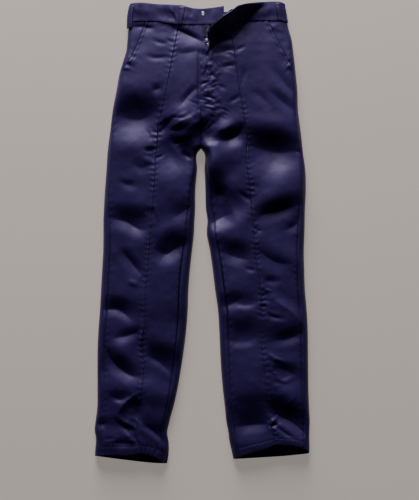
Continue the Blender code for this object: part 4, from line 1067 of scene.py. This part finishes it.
def make_stitching():
    """All the rows of stitches that show: band, pockets, crease, hems and fly."""
    runs = []
    for side in (-1, 1):
        upper, lower = band_edges(side, 220)
        for level in (0.05, 0.95):
            xs = upper + (lower - upper) * level
            runs.append(stitch_run(side, xs, band_down(side, level, upper, lower), BAND_RAISE - 0.2))
        rows = np.linspace(WAIST_ROW + 2, POCKET_END - 3, 120)
        for inset in (1.6, POCKET_STITCHES):
            xs = pocket_mouth(side, rows) - side * inset
            runs.append(stitch_run(side, xs, on_front(side, rows, xs), 0.3))
        rows = np.linspace(WAIST_ROW + 4, HEM_DOWN - HEM_DEEP - 2, 900)
        xs = curve(CREASE, HALVES[side].column, rows) - side * CREASE_STITCHES
        runs.append(stitch_run(side, xs, on_front(side, rows, xs), -1.5))
        ends = [float(seam_x(side, HEM_DOWN, inner=inner)) for inner in (False, True)]
        xs = np.linspace(*ends, 200)
        runs.append(stitch_run(side, xs, on_front(side, np.full(200, HEM_DOWN - HEM_DEEP), xs), -0.35))
    fly = rounded_path(FLY_STITCHES, 2.0)
    runs.append(stitch_run(1, fly[:, 0], fly[:, 1], 0.1))
    centres, along = [np.concatenate(parts) for parts in zip(*runs)]
    rows_of_blocks("stitches", centres, along, UP, STITCH, "thread")


def make_bartacks():
    """Dense short stitches at the pocket ends, the foot of the fly and the loops' ends."""
    centres = []
    along = []
    for tack in TACKS:
        right, low = np.array(tack.across, float) / np.hypot(*tack.across)
        for k in range(TACK_STITCHES):
            offset = (k / (TACK_STITCHES - 1) - 0.5) * tack.length
            lean = 0.5 if k % 2 else -0.5
            x = tack.x + right * offset - low * lean
            down = tack.down + low * offset + right * lean
            centres.append(place(x, down, float(top_height(tack.side, x, down)) + tack.raised + 0.15))
            along.append((-low + 0.4 * right, -right, 0.0))
    rows_of_blocks("bartacks", centres, along, UP, TACK, "thread")


# Materials

class Wire:
    """A shader socket that takes part in sums."""

    def __init__(self, maker, socket):
        self.maker = maker
        self.socket = socket

    def maths(self, operation, first, second=0.0):
        return self.maker.node("ShaderNodeMath", {"operation": operation}, {0: first, 1: second})

    def __add__(self, other):
        return self.maths("ADD", self, other)

    def __radd__(self, other):
        return self.maths("ADD", other, self)

    def __sub__(self, other):
        return self.maths("SUBTRACT", self, other)

    def __rsub__(self, other):
        return self.maths("SUBTRACT", other, self)

    def __mul__(self, other):
        return self.maths("MULTIPLY", self, other)

    def __rmul__(self, other):
        return self.maths("MULTIPLY", other, self)

    def sine(self):
        return self.maths("SINE", self)


class Finish:
    """One material and its nodes."""

    def __init__(self, name):
        self.material = bpy.data.materials.new(name)
        self.material.use_nodes = True
        self.tree = self.material.node_tree
        self.surface = self.tree.nodes["Principled BSDF"]

    def node(self, kind, settings=None, sockets=None, output=0):
        """Add a node of that type, set it, then set or link its sockets. Returns one output."""
        made = self.tree.nodes.new(kind)
        for key, value in (settings or {}).items():
            if key == "stops":
                for stop, (place_at, colour) in zip(made.color_ramp.elements, value):
                    stop.position = place_at
                    stop.color = colour
            else:
                setattr(made, key, value)
        for key, value in (sockets or {}).items():
            self.feed(made.inputs[key], value)
        return Wire(self, made.outputs[output])

    def feed(self, socket, value):
        if isinstance(value, Wire):
            self.tree.links.new(value.socket, socket)
        else:
            socket.default_value = value

    def set(self, **values):
        """Set or link the surface's own sockets, with underscores for spaces."""
        for key, value in values.items():
            self.feed(self.surface.inputs[key.replace("_", " ")], value)

    def mix(self, factor, first, second):
        """Blend two colours."""
        return self.node("ShaderNodeMix", {"data_type": "RGBA"}, {0: factor, 6: first, 7: second}, output=2)

    def millimetres(self, turn=0.0, stretch=(1.0, 1.0, 1.0)):
        """Object coordinates in millimetres, turned about Z."""
        where = self.node("ShaderNodeTexCoord", output=3)
        scale = tuple(1000.0 * part for part in stretch)
        return self.node("ShaderNodeMapping", {}, {"Vector": where, "Rotation": (0, 0, turn), "Scale": scale})

    def noise(self, vector, size, detail=2.0, roughness=0.5):
        return self.node("ShaderNodeTexNoise", {}, {"Vector": vector, "Scale": 1.0 / size, "Detail": detail,
                                                    "Roughness": roughness})

    def bump(self, height, distance, strength=1.0, under=None):
        sockets = {"Height": height, "Distance": distance, "Strength": strength}
        if under is not None:
            sockets["Normal"] = under
        return self.node("ShaderNodeBump", {}, sockets)


def twill_finish():
    """Dark navy polycotton twill: fine diagonal ribs, uneven yarns, soft mottling, worn edges and painted
    shade along seams and stitches.
    """
    finish = Finish("navy_twill")
    where = finish.millimetres()
    along_x, along_y, along_z = [finish.node("ShaderNodeSeparateXYZ", {}, {0: where}, output=k)
                                 for k in range(3)]
    rib_pitch = 2.15 * sizes().twill_pitch
    ribs = ((along_x * 1.9 + along_y + along_z * 1.2) * (2 * math.pi / rib_pitch)).sine()
    yarn = ((along_y + along_z) * (2 * math.pi / (0.9 * sizes().twill_pitch))).sine()
    streaks = finish.noise(finish.millimetres(stretch=(1.0, 0.08, 1.0)), 1.4, 2.0)
    mottle = finish.noise(where, 38.0, 3.0, 0.6)
    fuzz = finish.noise(where, 1.1, 2.0)
    wear_and_shade = finish.node("ShaderNodeAttribute", {"attribute_name": "wear_and_shade"}, output=2)
    cloth = finish.mix(mottle, tuple(colours().cloth_dark), tuple(colours().cloth_light))
    cloth = finish.mix((ribs * 0.5 + 0.5) * 0.22 + streaks * 0.2, cloth, tuple(colours().cloth_yarn))
    rubbed = wear_and_shade.maths("MAXIMUM", wear_and_shade, 0.0)
    # Below zero the attribute is painted shade, which darkens the cloth towards the shade colour
    painted_shade_amount = wear_and_shade.maths("MAXIMUM", wear_and_shade * -0.85, 0.0)
    cloth = finish.mix(rubbed * (fuzz * 0.5 + 0.1), cloth, tuple(colours().cloth_worn))
    cloth = finish.mix(painted_shade_amount, cloth, tuple(colours().painted_shade_colour))
    weave = ribs * 0.5 + yarn * 0.25 + fuzz * 0.5
    fine = finish.bump(weave, 0.06 * MM, 0.5)
    soft = finish.bump(finish.noise(where, 7.0, 2.0), 0.25 * MM, 0.6, under=fine)
    finish.set(Base_Color=cloth, Roughness=fuzz * 0.1 + 0.46, Normal=soft, Sheen_Weight=sizes().sheen,
               Sheen_Roughness=0.4, Sheen_Tint=tuple(colours().sheen), Specular_IOR_Level=0.36,
               Specular_Tint=tuple(colours().gloss))


def plain_finish(name, colour, roughness, metallic=0.0, grain=0.5, depth=0.04):
    """A simple surface with a fine uneven grain."""
    finish = Finish(name)
    finish.set(Specular_IOR_Level=0.2)
    speck = finish.noise(finish.millimetres(), grain, 3.0)
    darker = tuple(part * 0.75 for part in colour[:3]) + (1.0,)
    finish.set(Base_Color=finish.mix(speck, darker, tuple(colour)), Roughness=speck * 0.2 + (roughness - 0.1),
               Metallic=metallic, Normal=finish.bump(speck, depth * MM, 0.6))


def floor_finish():
    """A pale floor that glows a little, so that the garment's shadow on it stays thin."""
    finish = Finish("pale_floor")
    pale = tuple(colours().floor)
    darker = tuple(0.45 * part for part in pale[:3]) + (1.0,)
    finish.set(Base_Color=darker, Roughness=0.9, Specular_IOR_Level=0.1, Emission_Color=pale,
               Emission_Strength=bpy.context.scene.trouser_studio.floor_glow)
    return finish.material


# Settings that a user would change

def amount(name, words, default, **kind):
    return bpy.props.FloatProperty(name=name, description=words, default=default, **kind)


def colour_property(name, words, default):
    return bpy.props.FloatVectorProperty(name=name, description=words, subtype="COLOR", size=4, min=0, max=1,
                                         default=default)


class TrouserSizes(bpy.types.PropertyGroup):
    """Sizes of the cloth and its details, in millimetres."""
    cloth_step: amount("Mesh step", "Spacing of the cloth's points, mm", 2.6)
    fold_depth: amount("Fold depth", "Scale of the large folds", 0.95)
    fold_spread: amount("Fold spread", "How far large folds fade", 1.5)
    swell_depth: amount("Swell depth", "Scale of the broad swells", 1.2)
    crinkle_depth: amount("Crinkle depth", "Scale of the wrinkles", 1.35)
    waviness: amount("Waviness", "Height of soft uneven waves, mm", 1.0)
    crease_rise: amount("Crease rise", "Height of the front crease, mm", 0.8)
    pucker_depth: amount("Pucker depth", "Puckers beside seams, mm", 0.7)
    twill_pitch: amount("Twill pitch", "Rib to rib, mm", 0.6)
    sheen: amount("Sheen", "Strength of the cloth's sheen", 0.04)


class TrouserColours(bpy.types.PropertyGroup):
    """Colours of the cloth, thread, metal and floor."""
    cloth_dark: colour_property("Cloth, dark", "Darker patches of dyed cloth", (0.0092, 0.0026, 0.042, 1))
    cloth_light: colour_property("Cloth, light", "Lighter patches of dyed cloth", (0.0125, 0.0050, 0.050, 1))
    cloth_yarn: colour_property("Yarn", "Lighter weft showing in the twill", (0.0175, 0.0115, 0.058, 1))
    cloth_worn: colour_property("Worn edge", "Cloth rubbed pale at edges", (0.016, 0.015, 0.045, 1))
    # Painted shade: the colour the cloth darkens to along seams, stitch rows and loop edges
    painted_shade_colour: colour_property("Groove", "Dirt and dye in the grooves of seams", (0.001, 0.0005, 0.006, 1))
    sheen: colour_property("Sheen", "Tint of the cloth's sheen", (0.55, 0.6, 1.0, 1))
    gloss: colour_property("Gloss", "Tint of the cloth's reflections", (0.78, 0.74, 1.0, 1))
    thread: colour_property("Thread", "Sewing thread", (0.006, 0.004, 0.02, 1))
    steel: colour_property("Steel", "Plated hook and bar", (0.6, 0.62, 0.7, 1))
    zip_metal: colour_property("Zip slider", "Zip slider and its pull", (0.34, 0.34, 0.38, 1))
    tape: colour_property("Zip tape", "Woven zip tape", (0.008, 0.008, 0.012, 1))
    # The zip teeth are darkened as painted shade, for the shade they lie in under the fly
    zip_teeth: colour_property("Zip teeth", "Dulled zip teeth", (0.02, 0.02, 0.03, 1))
    floor: colour_property("Floor", "Pale floor", (0.64, 0.57, 0.52, 1))


class StudioSettings(bpy.types.PropertyGroup):
    """Light of the studio."""
    key: amount("Key", "Strength of the key light", 10.0)
    key_height: amount("Key height", "Angle above the floor", math.radians(16.5), subtype="ANGLE")
    key_side: amount("Key side", "Angle to +Y on the floor", math.radians(-6), subtype="ANGLE")
    key_distance: amount("Key distance", "From the garment's middle", 4.6, unit="LENGTH")
    key_width: amount("Key width", "Across the round lamp", 2.8, unit="LENGTH")
    floor_glow: amount("Floor glow", "Light of the floor, which thins shadows", 0.42)
    fill: amount("Fill", "Strength of the cool fill", 0.06)
    ambient: amount("Ambient", "Strength of the light all round", 0.024)


# Stage

FRAME_HIGH = 1150.0  # height of what the photograph shows, mm
FRAME_MIDDLE = (16.1, 568.1)  # (x, down) at its middle
LENS = 100.0
SENSOR = 36.0
FLOOR_WIDE = 8.0
FLOOR_Z = -0.0006


def make_camera():
    data = bpy.data.cameras.new("Camera")
    data.lens = LENS
    data.sensor_width = SENSOR
    data.clip_end = 50.0
    camera = bpy.data.objects.new("Camera", data)
    above = Vector((0, 0, FRAME_HIGH * LENS / SENSOR * MM))
    camera.location = Vector(place(*FRAME_MIDDLE, 18.0)) + above
    bpy.context.scene.collection.objects.link(camera)
    bpy.context.scene.camera = camera


def add_lamp(name, kind, azimuth, elevation, distance, energy, colour):
    """A lamp that looks at the garment's middle, from an angle to +Y and an angle above the floor."""
    data = bpy.data.lights.new(name, kind)
    data.energy = energy
    data.color = colour
    lamp = bpy.data.objects.new(name, data)
    flat = math.cos(elevation)
    toward = Vector((math.sin(azimuth) * flat, math.cos(azimuth) * flat, math.sin(elevation)))
    lamp.location = toward * distance
    lamp.rotation_mode = "QUATERNION"
    lamp.rotation_quaternion = toward.to_track_quat("Z", "Y")
    bpy.context.scene.collection.objects.link(lamp)
    return data


def make_lights():
    """A wide low lamp beyond the waist, whose light falls off towards the hems, and a faint cool fill."""
    studio = bpy.context.scene.trouser_studio
    key = add_lamp("Key", "AREA", studio.key_side, studio.key_height, studio.key_distance,
                   studio.key * math.pi * studio.key_distance ** 2, (1.0, 0.96, 0.98))
    key.shape = "DISK"
    key.size = studio.key_width
    fill = add_lamp("Fill", "SUN", math.radians(80), math.radians(28), 0.0, studio.fill, (0.62, 0.75, 1.0))
    fill.angle = math.radians(60)
    world = bpy.data.worlds.new("Studio")
    world.use_nodes = True
    world.node_tree.nodes["Background"].inputs[0].default_value = (0.5, 0.35, 1.0, 1)
    world.node_tree.nodes["Background"].inputs[1].default_value = studio.ambient
    bpy.context.scene.world = world


def make_floor():
    half = FLOOR_WIDE / 2
    data = bpy.data.meshes.new("floor")
    corners = [(-half, -half, 0), (half, -half, 0), (half, half, 0), (-half, half, 0)]
    data.from_pydata(corners, [], [(0, 1, 2, 3)])
    data.materials.append(floor_finish())
    floor = bpy.data.objects.new("floor", data)
    floor.location = (0, 0, FLOOR_Z)
    bpy.context.scene.collection.objects.link(floor)


# Operators

class TROUSERS_OT_finishes(bpy.types.Operator):
    """Make the materials of cloth, thread, tape and metal"""
    bl_idname = "trousers.finishes"
    bl_label = "Finishes"

    def execute(self, context):
        twill_finish()
        plain_finish("thread", tuple(colours().thread), 0.6, grain=0.3, depth=0.05)
        plain_finish("zip_tape", tuple(colours().tape), 0.85, grain=0.4, depth=0.1)
        plain_finish("plated_steel", tuple(colours().steel), 0.42, metallic=0.35, grain=0.4, depth=0.005)
        plain_finish("zip_metal", tuple(colours().zip_metal), 0.38, metallic=1.0, grain=0.5, depth=0.01)
        # Zip teeth darkened as painted shade
        plain_finish("zip_teeth", tuple(colours().zip_teeth), 0.55, metallic=1.0, grain=0.5, depth=0.01)
        return {"FINISHED"}


class TROUSERS_OT_legs(bpy.types.Operator):
    """Make the fronts and backs of both legs"""
    bl_idname = "trousers.legs"
    bl_label = "Legs"

    def execute(self, context):
        make_front(-1, "front_right")
        make_front(1, "front_left")
        make_back(-1, "back_right")
        make_back(1, "back_left")
        return {"FINISHED"}


class TROUSERS_OT_pockets(bpy.types.Operator):
    """Make the pocket facings behind the slanted mouths"""
    bl_idname = "trousers.pockets"
    bl_label = "Pocket facings"

    def execute(self, context):
        make_facing(-1, "pocket_facing_right")
        make_facing(1, "pocket_facing_left")
        return {"FINISHED"}


class TROUSERS_OT_waist(bpy.types.Operator):
    """Make the waistband and its belt loops"""
    bl_idname = "trousers.waist"
    bl_label = "Waistband and loops"

    def execute(self, context):
        make_waistband(-1, "waistband_right")
        make_waistband(1, "waistband_left")
        make_loop("loop_front_right", -1, -46.5, -5.0)
        make_loop("loop_front_left", 1, 91.0, -6.0)
        make_loop("loop_side_left", 1, 174.0, 4.0)
        make_side_loop()
        return {"FINISHED"}


class TROUSERS_OT_fly(bpy.types.Operator):
    """Make the fly shield, zip tapes, teeth and slider"""
    bl_idname = "trousers.fly"
    bl_label = "Fly and zip"

    def execute(self, context):
        make_tapes_and_teeth()
        make_shield()
        make_slider()
        make_metal()
        return {"FINISHED"}


class TROUSERS_OT_stitching(bpy.types.Operator):
    """Sew the rows of stitches and the bartacks"""
    bl_idname = "trousers.stitching"
    bl_label = "Stitching"

    def execute(self, context):
        make_stitching()
        make_bartacks()
        return {"FINISHED"}


class TROUSERS_OT_stage(bpy.types.Operator):
    """Set up the floor, lights and camera"""
    bl_idname = "trousers.stage"
    bl_label = "Stage"

    def execute(self, context):
        make_camera()
        make_lights()
        make_floor()
        return {"FINISHED"}


OPERATORS = (
    TROUSERS_OT_stage, TROUSERS_OT_finishes, TROUSERS_OT_fly, TROUSERS_OT_legs, TROUSERS_OT_pockets,
    TROUSERS_OT_waist, TROUSERS_OT_stitching)


class TROUSERS_PT_panel(bpy.types.Panel):
    """Buttons that build the trousers piece by piece"""
    bl_idname = "TROUSERS_PT_panel"
    bl_label = "Work trousers"
    bl_space_type = "VIEW_3D"
    bl_region_type = "UI"
    bl_category = "Trousers"

    def draw(self, context):
        for operator in OPERATORS:
            self.layout.operator(operator.bl_idname)
        scene = context.scene
        for settings in (scene.trouser_sizes, scene.trouser_colours, scene.trouser_studio):
            for name in settings.__annotations__:
                self.layout.prop(settings, name)


CLASSES = (TrouserSizes, TrouserColours, StudioSettings, *OPERATORS, TROUSERS_PT_panel)


def register():
    for part in CLASSES:
        bpy.utils.register_class(part)
    bpy.types.Scene.trouser_sizes = bpy.props.PointerProperty(type=TrouserSizes)
    bpy.types.Scene.trouser_colours = bpy.props.PointerProperty(type=TrouserColours)
    bpy.types.Scene.trouser_studio = bpy.props.PointerProperty(type=StudioSettings)


def unregister():
    del bpy.types.Scene.trouser_studio
    del bpy.types.Scene.trouser_colours
    del bpy.types.Scene.trouser_sizes
    for part in reversed(CLASSES):
        bpy.utils.unregister_class(part)


def main():
    register()
    bpy.ops.trousers.stage()
    bpy.ops.trousers.finishes()
    bpy.ops.trousers.fly()
    bpy.ops.trousers.legs()
    bpy.ops.trousers.pockets()
    bpy.ops.trousers.waist()
    bpy.ops.trousers.stitching()


if __name__ == "__main__":
    main()
